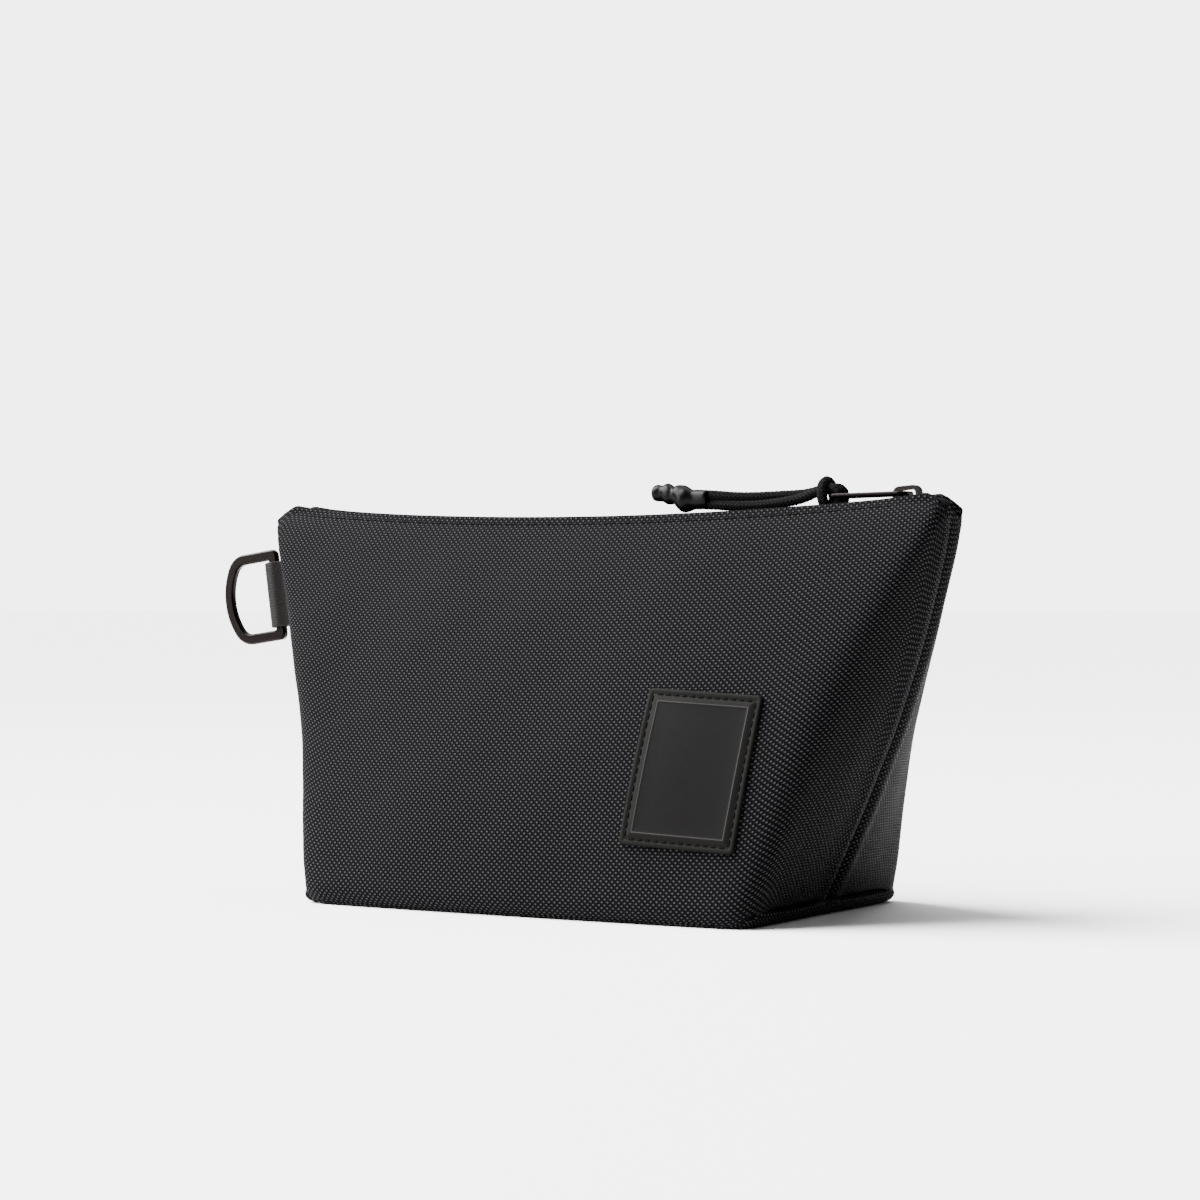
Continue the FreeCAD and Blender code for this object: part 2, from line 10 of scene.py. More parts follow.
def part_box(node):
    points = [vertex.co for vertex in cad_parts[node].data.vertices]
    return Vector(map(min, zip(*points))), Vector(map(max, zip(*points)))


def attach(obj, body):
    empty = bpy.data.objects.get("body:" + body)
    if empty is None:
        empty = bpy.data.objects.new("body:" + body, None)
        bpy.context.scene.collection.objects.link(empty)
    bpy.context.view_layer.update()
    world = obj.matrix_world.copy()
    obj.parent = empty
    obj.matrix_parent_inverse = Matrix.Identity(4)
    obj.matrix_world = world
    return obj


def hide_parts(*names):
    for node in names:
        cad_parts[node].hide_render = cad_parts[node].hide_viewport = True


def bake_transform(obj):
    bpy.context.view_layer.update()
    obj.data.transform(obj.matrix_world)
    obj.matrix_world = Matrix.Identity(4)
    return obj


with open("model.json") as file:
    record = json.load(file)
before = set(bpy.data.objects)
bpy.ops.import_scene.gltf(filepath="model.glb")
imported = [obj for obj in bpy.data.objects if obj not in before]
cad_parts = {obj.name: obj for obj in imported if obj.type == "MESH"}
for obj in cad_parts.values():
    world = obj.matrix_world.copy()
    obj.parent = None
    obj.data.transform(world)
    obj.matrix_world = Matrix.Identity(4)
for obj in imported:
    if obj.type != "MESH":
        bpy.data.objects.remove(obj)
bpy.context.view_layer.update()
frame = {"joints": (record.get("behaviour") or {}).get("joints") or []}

MM = 0.001

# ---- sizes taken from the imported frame, in metres ----
def node_box(node):
    """The low and the high corner of a CAD node."""
    return tuple(Vector(corner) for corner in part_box(node))


_, FRONT_HIGH = node_box("front_panel")
_, BASE_HIGH = node_box("base_panel")
PATCH_LOW, PATCH_HIGH = node_box("label_patch")
HEM_LOW, HEM_HIGH = node_box("front_topstitch")
COIL_LOW, COIL_HIGH = node_box("zipper_coil_back")
TAPE_LOW, TAPE_HIGH = node_box("zipper_tape_back")
END_LOW, END_HIGH = node_box("cord_end")
PATCH_MIDDLE = (PATCH_LOW + PATCH_HIGH) / 2
joints = {j["name"]: j for j in frame["joints"]}
ARC_CENTRE_Z = joints["slider_travel"]["pos_m"][2]

# ---- the bag's outline, in metres ----
BAG_HEIGHT = 142 * MM
SEAM_TOP = FRONT_HIGH.x
SEAM_BASE = SEAM_TOP - 50.8 * MM
SEAM_BOW = 1.5
RIDGE_TOP = 7.0 * MM
RIDGE_BASE = 61.5 * MM
RIDGE_BOW = 0.75
RIDGE_DENT = 15 * MM         # the ridges stand inside the side seams
RIDGE_DENT_SKEW = 1.2
RIDGE_ROUNDING = 16 * MM     # the front turns into the side over this width at the base
RIDGE_SOFTENING = 30 * MM    # and over this much more at the mouth
FACE_TOP = 9.6 * MM
FACE_BASE = 62.5 * MM
FACE_BOW = 1.6
HEM_MIDDLE_Z = 137.7 * MM
HEM_RADIUS = ARC_CENTRE_Z - HEM_MIDDLE_Z
BASE_SEAM_Z = BASE_HIGH.z
FOOT_INSET = 5 * MM
CORNER_RADIUS = 8 * MM
CORNER_X = SEAM_TOP + 0.5 * MM - CORNER_RADIUS
# shares that shape the horizontal outline between the seam, the ridge and the face
SIDE_PUFF = 1.0 * MM
SIDE_NEAR_DEPTH = 0.36
SIDE_FAR_DEPTH = 0.72
SIDE_NEAR_DENT = 0.12
SIDE_FAR_DENT = 0.62
RIDGE_PUFF = 2.0 * MM
FACE_FLAT = 0.42

# ---- the cloth, its stitches and the label ----
GIRTH = 286 * MM             # from side seam to side seam round the front, on the cloth
CLOTH = 1.4 * MM             # one layer of coated nylon
HEM_THICK = 2.6 * MM         # the turned hem is two layers
HEM_DEPTH = 10 * MM
HEM_STITCH_DROP = 1.9 * MM
STITCH_PITCH = 3.0 * MM
STITCH_LENGTH = 2.5 * MM
THREAD_RADIUS = 0.27 * MM
LINING_DEPTH = 2.3 * MM      # the lining hangs this far inside the cloth's outside
LINING_THICK = 0.6 * MM
LINING_LOW_ROW = 6
LINING_TOP = 0.955           # share of the rows that the lining covers
PATCH_TURN = math.radians(-3.0)
PATCH_SIZE = (42.0 * MM, 52.2 * MM)
PATCH_THICK = 1.3 * MM
PATCH_CORNER = 1.8 * MM
PATCH_STITCH_INSET = 2.0 * MM
PATCH_SINK = 0.3 * MM        # the label is pressed this far into the cloth
ROWS = 96
HALF_COLUMNS = 90


# ---------------------------------------------------------------- small helpers
def linear(code):
    """An sRGB hex colour as linear red, green, blue and alpha."""
    values = [int(code[i:i + 2], 16) / 255 for i in (1, 3, 5)]
    return [v / 12.92 if v <= 0.04045 else ((v + 0.055) / 1.055) ** 2.4 for v in values] + [1.0]


def add(tree, kind, inputs=None, **settings):
    """Adds a node with its settings, plain values and links."""
    node = tree.nodes.new(kind)
    for name, value in settings.items():
        setattr(node, name, value)
    for name, value in (inputs or {}).items():
        if isinstance(value, bpy.types.NodeSocket):
            tree.links.new(value, node.inputs[name])
        else:
            node.inputs[name].default_value = value
    return node


def material(name, roughness, **settings):
    """A fresh material with its shader; settings are the shader's own sockets."""
    made = bpy.data.materials.new(name)
    made.use_nodes = True
    tree = made.node_tree
    shader = tree.nodes["Principled BSDF"]
    shader.inputs["Roughness"].default_value = roughness
    for socket, value in settings.items():
        shader.inputs[socket.replace("_", " ")].default_value = value
    return made, tree, shader


def maths(tree, operation, a, b=0.0, c=0.0):
    return add(tree, "ShaderNodeMath", {0: a, 1: b, 2: c}, operation=operation).outputs[0]


def bump(tree, shader, height, distance):
    node = add(tree, "ShaderNodeBump", {"Height": height, "Distance": distance, "Strength": 1.0})
    tree.links.new(node.outputs[0], shader.inputs["Normal"])


def colour_by(tree, shader, amount, dark, light):
    mixed = add(
        tree,
        "ShaderNodeMix",
        {"Factor": amount, 6: linear(dark), 7: linear(light)},
        data_type="RGBA",
    )
    tree.links.new(mixed.outputs[2], shader.inputs["Base Color"])


def new_object(name, verts, faces, mat, uvs=None, smooth=True):
    """A mesh object at the origin; uvs holds one pair per vertex, in metres on the cloth."""
    mesh = bpy.data.meshes.new(name)
    mesh.from_pydata([tuple(v) for v in verts], [], faces)
    if uvs is not None:
        layer = mesh.uv_layers.new(name="cloth")
        order = np.zeros(len(mesh.loops), int)
        mesh.loops.foreach_get("vertex_index", order)
        layer.data.foreach_set("uv", np.asarray(uvs, float)[order].astype(np.float32).ravel())
    mesh.materials.append(mat)
    mesh.update()
    if smooth:
        mesh.shade_smooth()
    made = bpy.data.objects.new(name, mesh)
    bpy.context.scene.collection.objects.link(made)
    return made


def evaluated_mesh(source, name):
    """The mesh that an object's modifiers or curve give."""
    graph = bpy.context.evaluated_depsgraph_get()
    mesh = bpy.data.meshes.new_from_object(source.evaluated_get(graph))
    mesh.name = name
    return mesh


def travel_along(points):
    """The distance of each point from the first, measured along the line."""
    steps = np.linalg.norm(np.diff(points, axis=0), axis=1)
    return np.concatenate([[0], np.cumsum(steps)])


# ---------------------------------------------------------------- materials
def ballistic_nylon():
    """Coated ballistic nylon: thick filament yarns in a basket weave, whose floats catch the light; the
    colour also carries a painted highlight on the float crests and painted shade, black, in the gaps between
    the yarns.
    """
    made, tree, shader = material("coated_ballistic_nylon", 0.6, Specular_IOR_Level=0.025)
    yarn_u = 1.06 * MM
    yarn_v = 1.00 * MM
    uv = add(tree, "ShaderNodeUVMap", uv_map="cloth").outputs[0]
    parts = add(tree, "ShaderNodeSeparateXYZ", {0: uv})
    across = maths(tree, "MULTIPLY_ADD", parts.outputs[0], 1 / yarn_u, 1000.0)
    along = maths(tree, "MULTIPLY_ADD", parts.outputs[1], 1 / yarn_v, 1000.0)
    cell = maths(tree, "ADD", maths(tree, "FLOOR", across), maths(tree, "FLOOR", along))
    over = maths(tree, "MODULO", cell, 2.0)
    arch_u = maths(tree, "SINE", maths(tree, "MULTIPLY", maths(tree, "FRACT", across), math.pi))
    arch_v = maths(tree, "SINE", maths(tree, "MULTIPLY", maths(tree, "FRACT", along), math.pi))
    long_arch = maths(tree, "POWER", arch_u, 0.30)
    short_arch = maths(tree, "POWER", arch_v, 0.8)
    float_yarn = maths(tree, "MULTIPLY", long_arch, short_arch)
    under_yarn = maths(tree, "MULTIPLY", maths(tree, "POWER", arch_u, 0.9), 0.25)
    height = add(tree, "ShaderNodeMix", {"Factor": over, 2: under_yarn, 3: float_yarn}).outputs[0]
    # painted highlight and shade: the colour goes from black at the weave's low points to grey on the tops
    # of the floats
    painted_weave_shading = maths(tree, "POWER", height, 2.8)
    colour_by(tree, shader, painted_weave_shading, "#000000", "#2f2e32")
    tree.links.new(maths(tree, "MULTIPLY_ADD", height, -0.20, 0.72), shader.inputs["Roughness"])
    bump(tree, shader, height, 0.50 * MM)
    return made


def plain_cloth(name, dark, light, thread, roughness):
    """A plain woven cloth of thread-wide yarns, with painted shade in the dips of the weave and a painted
    highlight on the tops of the yarns.
    """
    made, tree, shader = material(name, roughness, Specular_IOR_Level=0.2)
    uv = add(tree, "ShaderNodeUVMap", uv_map="cloth").outputs[0]
    parts = add(tree, "ShaderNodeSeparateXYZ", {0: uv})
    wave_u = maths(tree, "SINE", maths(tree, "MULTIPLY", parts.outputs[0], math.pi / thread))
    wave_v = maths(tree, "SINE", maths(tree, "MULTIPLY", parts.outputs[1], math.pi / thread))
    height = maths(tree, "MULTIPLY_ADD", maths(tree, "MULTIPLY", wave_u, wave_v), 0.5, 0.5)
    # painted shade and highlight: the colour is darker where the weave dips and lighter where it rises
    colour_by(tree, shader, height, dark, light)
    bump(tree, shader, height, 0.25 * thread)
    return made


def ribbed_webbing():
    """Coated nylon webbing: fine ribs across its width under a rubbery skin."""
    made, tree, shader = material("coated_webbing", 0.55, Specular_IOR_Level=0.1)
    uv = add(tree, "ShaderNodeUVMap", uv_map="cloth").outputs[0]
    parts = add(tree, "ShaderNodeSeparateXYZ", {0: uv})
    rib = maths(tree, "SINE", maths(tree, "MULTIPLY", parts.outputs[1], 2 * math.pi / (1.1 * MM)))
    noise = {"Vector": uv, "Scale": 1 / (1.6 * MM), "Detail": 3.0}
    grain = add(tree, "ShaderNodeTexNoise", noise).outputs[0]
    height = maths(tree, "MULTIPLY_ADD", rib, 0.25, grain)
    colour_by(tree, shader, grain, "#090706", "#100d0c")
    bump(tree, shader, height, 0.10 * MM)
    return made


def grained(name, dark, light, grain_mm, roughness, depth_mm, spread=0.12, **settings):
    """A moulded or cast surface with an even fine grain and a slightly uneven gloss."""
    made, tree, shader = material(name, roughness, **settings)
    place = add(tree, "ShaderNodeTexCoord").outputs["Object"]
    fine = add(tree, "ShaderNodeTexNoise", {"Vector": place, "Scale": 1 / (grain_mm * MM), "Detail": 4.0})
    broad = add(tree, "ShaderNodeTexNoise", {"Vector": place, "Scale": 1 / (12 * MM), "Detail": 2.0})
    colour_by(tree, shader, broad.outputs[0], dark, light)
    worn = maths(tree, "MULTIPLY_ADD", broad.outputs[0], spread, roughness - spread / 2)
    tree.links.new(worn, shader.inputs["Roughness"])
    bump(tree, shader, fine.outputs[0], depth_mm * MM)
    return made


def edge_highlit_metal(name, base, edge, roughness):
    """Black plated zinc, painted lighter in patches on its sharp convex edges: a painted highlight where the
    edges catch the light.
    """
    made, tree, shader = material(name, roughness, Metallic=1.0)
    place = add(tree, "ShaderNodeTexCoord").outputs["Object"]
    fine = add(tree, "ShaderNodeTexNoise", {"Vector": place, "Scale": 1 / (0.7 * MM), "Detail": 5.0})
    pointed = add(tree, "ShaderNodeNewGeometry").outputs["Pointiness"]
    # painted highlight: convex edges, found by pointiness, get the lighter colour in noisy patches
    edge_highlight_mask = add(tree, "ShaderNodeMapRange", {"Value": pointed, "From Min": 0.5, "From Max": 0.62}).outputs[0]
    patchy_edge_highlight = maths(tree, "MULTIPLY", edge_highlight_mask, fine.outputs[0])
    colour_by(tree, shader, patchy_edge_highlight, base, edge)
    uneven = maths(tree, "MULTIPLY_ADD", fine.outputs[0], 0.18, roughness - 0.09)
    tree.links.new(uneven, shader.inputs["Roughness"])
    bump(tree, shader, fine.outputs[0], 0.03 * MM)
    return made


def spun_thread(name, dark, light, pitch_mm):
    """Twisted filament: the twist shows as fine slanting lines, raised by bump and painted darker in the
    grooves and lighter on the ridges as shade and highlight.
    """
    made, tree, shader = material(name, 0.65, Specular_IOR_Level=0.03)
    place = add(tree, "ShaderNodeTexCoord").outputs["Object"]
    twist = add(
        tree,
        "ShaderNodeTexWave",
        {"Vector": place, "Scale": 1 / (pitch_mm * MM) / 6, "Distortion": 1.0, "Detail": 1.0},
        bands_direction="DIAGONAL",
    )
    # painted shade and highlight: the colour follows the twist's ridges and grooves
    colour_by(tree, shader, twist.outputs[1], dark, light)
    bump(tree, shader, twist.outputs[1], 0.05 * MM)
    return made


NYLON = ballistic_nylon()
LINING = plain_cloth("nylon_taffeta_lining", "#141416", "#29292c", 0.45 * MM, 0.6)
TAPE = plain_cloth("knitted_zip_tape", "#060606", "#101011", 0.55 * MM, 0.75)
WEBBING = ribbed_webbing()
COIL = grained("black_nylon_coil", "#040405", "#0a0a0b", 0.4, 0.45, 0.02, Specular_IOR_Level=0.2)
SLIDER_METAL = edge_highlit_metal("black_plated_zinc", "#070606", "#211e1c", 0.34)
RING_METAL = edge_highlit_metal("black_nickel_plate", "#050404", "#1a1614", 0.34)
CORD_SHEATH = spun_thread("braided_nylon_sheath", "#020202", "#0a0909", 0.5)
MATT_NYLON = grained("matt_black_nylon", "#020202", "#040404", 0.3, 0.8, 0.02, Specular_IOR_Level=0.05)
SHRINK = grained("shrunk_black_rubber", "#020202", "#040405", 0.8, 0.34, 0.03, Specular_IOR_Level=0.05)
PATCH = grained("moulded_label_rubber", "#040403", "#070605", 0.5, 0.66, 0.05, Specular_IOR_Level=0.05)
PATCH_FIELD = grained("smooth_label_field", "#040303", "#060505", 0.6, 0.60, 0.03, Specular_IOR_Level=0.04)
PATCH_FRAME = grained("printed_label_frame", "#141211", "#191716", 0.4, 0.55, 0.01, Specular_IOR_Level=0.1)
THREAD = spun_thread("bonded_nylon_thread", "#020202", "#080707", 0.4)


# ---------------------------------------------------------------- stage, camera, lights
STUDIO_WHITE = 5.0           # the white wall far behind
STUDIO_FILL = 0.30           # what that white room gives the object


def make_stage():
    floor, tree, shader = material("pale_paper_floor", 0.9)
    shader.inputs["Base Color"].default_value = linear("#f8f7f6")
    size = 60.0
    verts = [(-size, -size, 0), (size, -size, 0), (size, size, 0), (-size, size, 0)]
    made = new_object("floor", verts, [(0, 1, 2, 3)], floor, smooth=False)
    world = bpy.data.worlds.new("studio")
    bpy.context.scene.world = world
    world.use_nodes = True
    tree = world.node_tree
    seen = add(tree, "ShaderNodeLightPath").outputs["Is Camera Ray"]
    strength = maths(tree, "MULTIPLY_ADD", seen, STUDIO_WHITE - STUDIO_FILL, STUDIO_FILL)
    tree.nodes["Background"].inputs["Color"].default_value = linear("#fdfdfe")
    tree.links.new(strength, tree.nodes["Background"].inputs["Strength"])


def area_light(name, place, size, power, colour):
    """A rectangular light that points at the middle of the bag."""
    data = bpy.data.lights.new(name, "AREA")
    data.shape = "RECTANGLE"
    data.size, data.size_y = size
    data.energy = power
    data.color = linear(colour)[:3]
    made = bpy.data.objects.new(name, data)
    made.location = place
    aim = Vector((0, 0, 0.08)) - Vector(place)
    made.rotation_euler = aim.to_track_quat("-Z", "Y").to_euler()
    bpy.context.scene.collection.objects.link(made)


def make_lights():
    """One broad key from the upper left, a little in front, and two weak softboxes for small gloss."""
    data = bpy.data.lights.new("broad_key", "SUN")
    data.energy = 20.0
    data.angle = math.radians(48)
    made = bpy.data.objects.new("broad_key", data)
    made.rotation_euler = Vector((1.0, 0.40, -1.25)).to_track_quat("-Z", "Y").to_euler()
    bpy.context.scene.collection.objects.link(made)
    area_light("softbox_left", (-1.0, -1.25, 0.6), (0.9, 0.9), 55, "#fbfbff")
    area_light("softbox_top", (-0.3, 0.5, 1.7), (1.6, 1.2), 25, "#ffffff")


def make_camera():
    """A long lens held level just below the mouth, turned round to show the front and the right side."""
    turn = math.radians(31)
    distance = 1.080
    aside = 0.0001
    data = bpy.data.cameras.new("camera")
    data.lens = 90
    data.sensor_width = 36
    data.shift_y = 0.005
    made = bpy.data.objects.new("camera", data)
    right = Vector((math.cos(turn), math.sin(turn), 0))
    ahead = Vector((-math.sin(turn), math.cos(turn), 0))
    made.location = right * aside - ahead * distance + Vector((0, 0, 0.1066))
    made.rotation_euler = (math.pi / 2, 0, turn)
    bpy.context.scene.collection.objects.link(made)
    bpy.context.scene.camera = made


# ---------------------------------------------------------------- the puller's cord
# From inside the moulded end, along the front strand, through the hitch on the wire, and back.
CORD_ROUTE_MM = [
    (43.5, -5.4, 142.4),
    (50.0, -5.2, 142.1),
    (58.0, -4.5, 141.5),
    (66.0, -3.6, 141.4),
    (75.0, -2.7, 142.3),
    (83.0, -1.8, 143.7),
    (90.0, -1.65, 146.8),
    (96.9, -1.65, 147.2),
    (97.1, -1.65, 141.6),
    (94.0, -2.0, 140.9),
    (91.9, -4.4, 141.5),
    (91.4, -4.7, 147.4),
    (91.3, 0.0, 150.2),
    (91.4, 4.7, 147.4),
    (91.9, 4.4, 141.5),
    (94.0, 2.0, 140.9),
    (97.1, 1.65, 141.6),
    (96.9, 1.65, 147.2),
    (90.0, 1.65, 147.0),
    (83.0, 1.4, 145.2),
    (75.0, 0.4, 144.9),
    (66.0, -1.6, 144.5),
    (58.0, -3.3, 144.5),
    (50.0, -4.8, 145.3),
    (43.5, -5.3, 145.6),
]


def route_line(points_mm):
    """A smooth open NURBS line with these control points, as points along it."""
    curve = bpy.data.curves.new("cord_route", "CURVE")
    curve.dimensions = "3D"
    curve.resolution_u = 16
    spline = curve.splines.new("NURBS")
    spline.points.add(len(points_mm) - 1)
    for point, place in zip(spline.points, points_mm):
        point.co = (*(v * MM for v in place), 1)
    spline.order_u = 3
    spline.use_endpoint_u = True
    holder = bpy.data.objects.new("cord_route", curve)
    bpy.context.scene.collection.objects.link(holder)
    mesh = evaluated_mesh(holder, "cord_route_line")
    line = np.array([v.co for v in mesh.vertices])
    bpy.data.objects.remove(holder)
    bpy.data.curves.remove(curve)
    bpy.data.meshes.remove(mesh)
    return line


def evenly(line, step):
    """Points at even steps along a line of points."""
    travel = travel_along(line)
    at = np.linspace(0, travel[-1], int(travel[-1] / step) + 1)
    return np.stack([np.interp(at, travel, line[:, k]) for k in range(3)], axis=1), at


def frames_along(points):
    """A sideways and an upward direction at each point, carried along without twist."""
    ahead = np.gradient(points, axis=0)
    ahead /= np.linalg.norm(ahead, axis=1)[:, None]
    side = np.cross(ahead[0], (0, 0, 1.0))
    sides = []
    for direction in ahead:
        side = side - direction * (side @ direction)
        side = side / np.linalg.norm(side)
        sides.append(side)
    sides = np.array(sides)
    return sides, np.cross(sides, ahead)


def tube_faces(rings, around, first=0):
    faces = []
    for i in range(rings - 1):
        for k in range(around):
            m = (k + 1) % around
            a = first + i * around
            b = a + around
            faces.append((a + k, a + m, b + m, b + k))
    faces.append(tuple(first + k for k in reversed(range(around))))
    faces.append(tuple(first + (rings - 1) * around + k for k in range(around)))
    return faces


def tube_along(points, radius, around):
    sides, ups = frames_along(points)
    turn = np.arange(around) / around * 2 * math.pi
    ring = np.cos(turn)[None, :, None] * sides[:, None] + np.sin(turn)[None, :, None] * ups[:, None]
    return (points[:, None] + radius * ring).reshape(-1, 3), tube_faces(len(points), around)


def braided_cord(line):
    """Sixteen strands that pass over and under each other round a dark core."""
    points, travel = evenly(line, 0.5 * MM)
    sides, ups = frames_along(points)
    per_way = 8                  # strands that wind each way
    pitch = 11 * MM              # one whole turn of a strand
    lay_radius = 1.50 * MM
    weave = 0.16 * MM            # how far a strand rises over another
    strand = 0.44 * MM
    core_radius = 1.40 * MM
    corners = 5                  # of a strand's flat oval section
    verts, faces = tube_along(points, core_radius, 12)
    verts = [verts]
    shades = [1] * len(faces)
    count = len(verts[0])
    for way in (1, -1):
        for i in range(per_way):
            turn = 2 * math.pi * (i / per_way + way * travel / pitch)
            crossing = i + way * 2 * per_way * travel / pitch
            radius = lay_radius + way * weave * np.cos(math.pi * (crossing + i))
            out = np.cos(turn)[:, None] * sides + np.sin(turn)[:, None] * ups
            centre = points + radius[:, None] * out
            around = np.cross(np.gradient(centre, axis=0), out)
            around /= np.linalg.norm(around, axis=1)[:, None]
            angles = np.arange(corners) / corners * 2 * math.pi
            ring = [1.5 * math.cos(a) * around + 0.72 * math.sin(a) * out for a in angles]
            tube = centre[:, None] + strand * np.stack(ring, axis=1)
            verts.append(tube.reshape(-1, 3))
            strand_faces = tube_faces(len(points), corners, count)
            faces += strand_faces
            shades += [0] * len(strand_faces)
            count += len(points) * corners
    made = new_object("pull_cord_braid", np.concatenate(verts), faces, CORD_SHEATH)
    made.data.materials.append(MATT_NYLON)
    made.data.polygons.foreach_set("material_index", shades)
    return made


def make_cord_end():
    """The lumpy shrunk sleeve over both ends of the cord; it droops and swells underneath."""
    outline = [
        (0.0, 0.3), (0.0, 2.2), (0.4, 2.9), (1.3, 3.2), (2.6, 3.1), (3.6, 2.7), (4.6, 3.3), (5.8, 3.8),
        (7.2, 3.6), (8.2, 3.1), (9.2, 3.6), (10.4, 4.3), (12.2, 4.9), (13.8, 4.7), (15.0, 3.9), (15.9, 3.4),
        (17.2, 3.4), (21.6, 3.45), (22.1, 3.2), (22.2, 2.4), (22.2, 0.3),
    ]
    droop = [(0.0, 146.6), (5.5, 146.2), (9.5, 145.3), (12.6, 144.0), (16.5, 143.9), (22.2, 143.9)]
    around = 40
    verts = []
    for along, radius in outline:
        lift = np.interp(along, [d[0] for d in droop], [d[1] for d in droop])
        for k in range(around):
            turn = 2 * math.pi * k / around
            swell = 1 + 0.05 * math.sin(2 * turn + along) + 0.04 * math.sin(3 * turn - 1.7 * along)
            y = radius * swell * math.cos(turn)
            z = radius * swell * math.sin(turn)
            verts.append((END_LOW.x + along * MM, (y - 5.4) * MM, (lift + z) * MM))
    made = new_object("cord_end_sleeve", verts, tube_faces(len(outline), around), SHRINK)
    finish_subdivided(made, 1)
    fix_normals(made)
    return made


def finish_subdivided(made, levels):
    smoother = made.modifiers.new("smoother", "SUBSURF")
    smoother.levels = levels
    smoother.render_levels = levels
    mesh = evaluated_mesh(made, made.name)
    made.modifiers.clear()
    made.data = mesh
    mesh.shade_smooth()


def fix_normals(made):
    """Turns every face outward on a closed mesh."""
    work = bmesh.new()
    work.from_mesh(made.data)
    bmesh.ops.recalc_face_normals(work, faces=work.faces)
    work.to_mesh(made.data)
    work.free()


def make_cord():
    line = route_line(CORD_ROUTE_MM)
    braid = braided_cord(line)
    sleeve = make_cord_end()
    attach(braid, "cord")
    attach(sleeve, "cord")
    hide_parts("pull_cord", "cord_hitch")
    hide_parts("cord_end")


# ---------------------------------------------------------------- the bag's surface
def share_up(z):
    """How far up the bag z is, from 0 at the ground to 1 at the mouth."""
    return np.clip(z / BAG_HEIGHT, 0, 1)


def seam_half(z):
    return SEAM_BASE + (SEAM_TOP - SEAM_BASE) * (1 - (1 - share_up(z)) ** SEAM_BOW)


def ridge_half(z):
    return RIDGE_TOP + (RIDGE_BASE - RIDGE_TOP) * (1 - share_up(z)) ** RIDGE_BOW


def face_half(z):
    return FACE_TOP + (FACE_BASE - FACE_TOP) * (1 - share_up(z) ** FACE_BOW)


def hem_z(x, drop=0.0):
    """Height of the mouth's edge at x, or of a line that far below it, with its rounded ends."""
    edge = ARC_CENTRE_Z - np.sqrt((HEM_RADIUS + drop) ** 2 - np.square(x))
    past = np.clip(np.abs(x) - CORNER_X, 0, CORNER_RADIUS)
    return edge - (CORNER_RADIUS - np.sqrt(CORNER_RADIUS**2 - past**2))


def spline_basis(count, samples):
    """Cubic B-spline weights of count poles, clamped at both ends."""
    knots = np.concatenate([[0] * 3, np.arange(count - 2), [count - 3] * 3]).astype(float)
    t = np.linspace(0, count - 3 - 1e-9, samples)
    weights = np.array([(knots[i] <= t) & (t < knots[i + 1]) for i in range(len(knots) - 1)]).astype(float)
    for degree in (1, 2, 3):
        nxt = np.zeros((len(weights) - 1, samples))
        for i in range(len(nxt)):
            left = knots[i + degree] - knots[i]
            right = knots[i + degree + 1] - knots[i + 1]
            if left > 0:
                nxt[i] += (t - knots[i]) / left * weights[i]
            if right > 0:
                nxt[i] += (knots[i + degree + 1] - t) / right * weights[i + 1]
        weights = nxt
    return weights.T


BASIS = spline_basis(12, 1201)


def section(z, shares):
    """Points on the front half's outline at height z, at these shares of the way from seam to seam."""
    level = max(z, BASE_SEAM_Z)
    seam = float(seam_half(level))
    ridge = float(ridge_half(level))
    face = float(face_half(level))
    dent = RIDGE_DENT * math.sin(math.pi * float(share_up(level)) ** RIDGE_DENT_SKEW)
    corner = seam - dent
    rounding = RIDGE_ROUNDING + RIDGE_SOFTENING * float(share_up(level))
    right = [
        (seam, 0.0),
        (seam + SIDE_PUFF - SIDE_NEAR_DENT * dent, SIDE_NEAR_DEPTH * ridge),
        (seam + SIDE_PUFF - SIDE_FAR_DENT * dent, SIDE_FAR_DEPTH * ridge),
        (corner + RIDGE_PUFF, ridge),
        (corner - rounding, 0.8 * ridge + 0.2 * face),
        (FACE_FLAT * seam, face),
    ]
    poles = np.array(right + [(-x, y) for x, y in reversed(right)])
    dense = BASIS @ poles
    travel = travel_along(dense)
    at = np.asarray(shares) * travel[-1]
    return np.stack([np.interp(at, travel, dense[:, k]) for k in (0, 1)], axis=1)


def bumpiness(x, z, seed):
    """A smooth uneven height, in metres, like cloth that has been handled."""
    # Height and length in millimetres, and direction, of each wave.
    waves = [(0.22, 93, 0.5), (0.20, 71, 1.8), (0.13, 43, 2.7), (0.08, 29, 1.1), (0.04, 17, 2.1)]
    total = 0.0
    for i, (size, length, turn) in enumerate(waves):
        phase = seed * 1.9 + i * 2.3
        along = (x * math.cos(turn) + z * math.sin(turn)) / (length * MM)
        total = total + size * np.sin(2 * math.pi * along + phase)
    return total * MM


def column_shares():
    """Shares from the right seam to the left seam, closer together beside the seams."""
    t = np.linspace(-1, 1, 2 * HALF_COLUMNS + 1)
    return (1 + t * (1 - 0.12 * (1 - t**2))) / 2


def row_shares():
    """Shares from the base to the mouth, closer together at both."""
    t = np.linspace(0, 1, ROWS)
    return t - 0.06 * np.sin(2 * math.pi * t) / math.pi


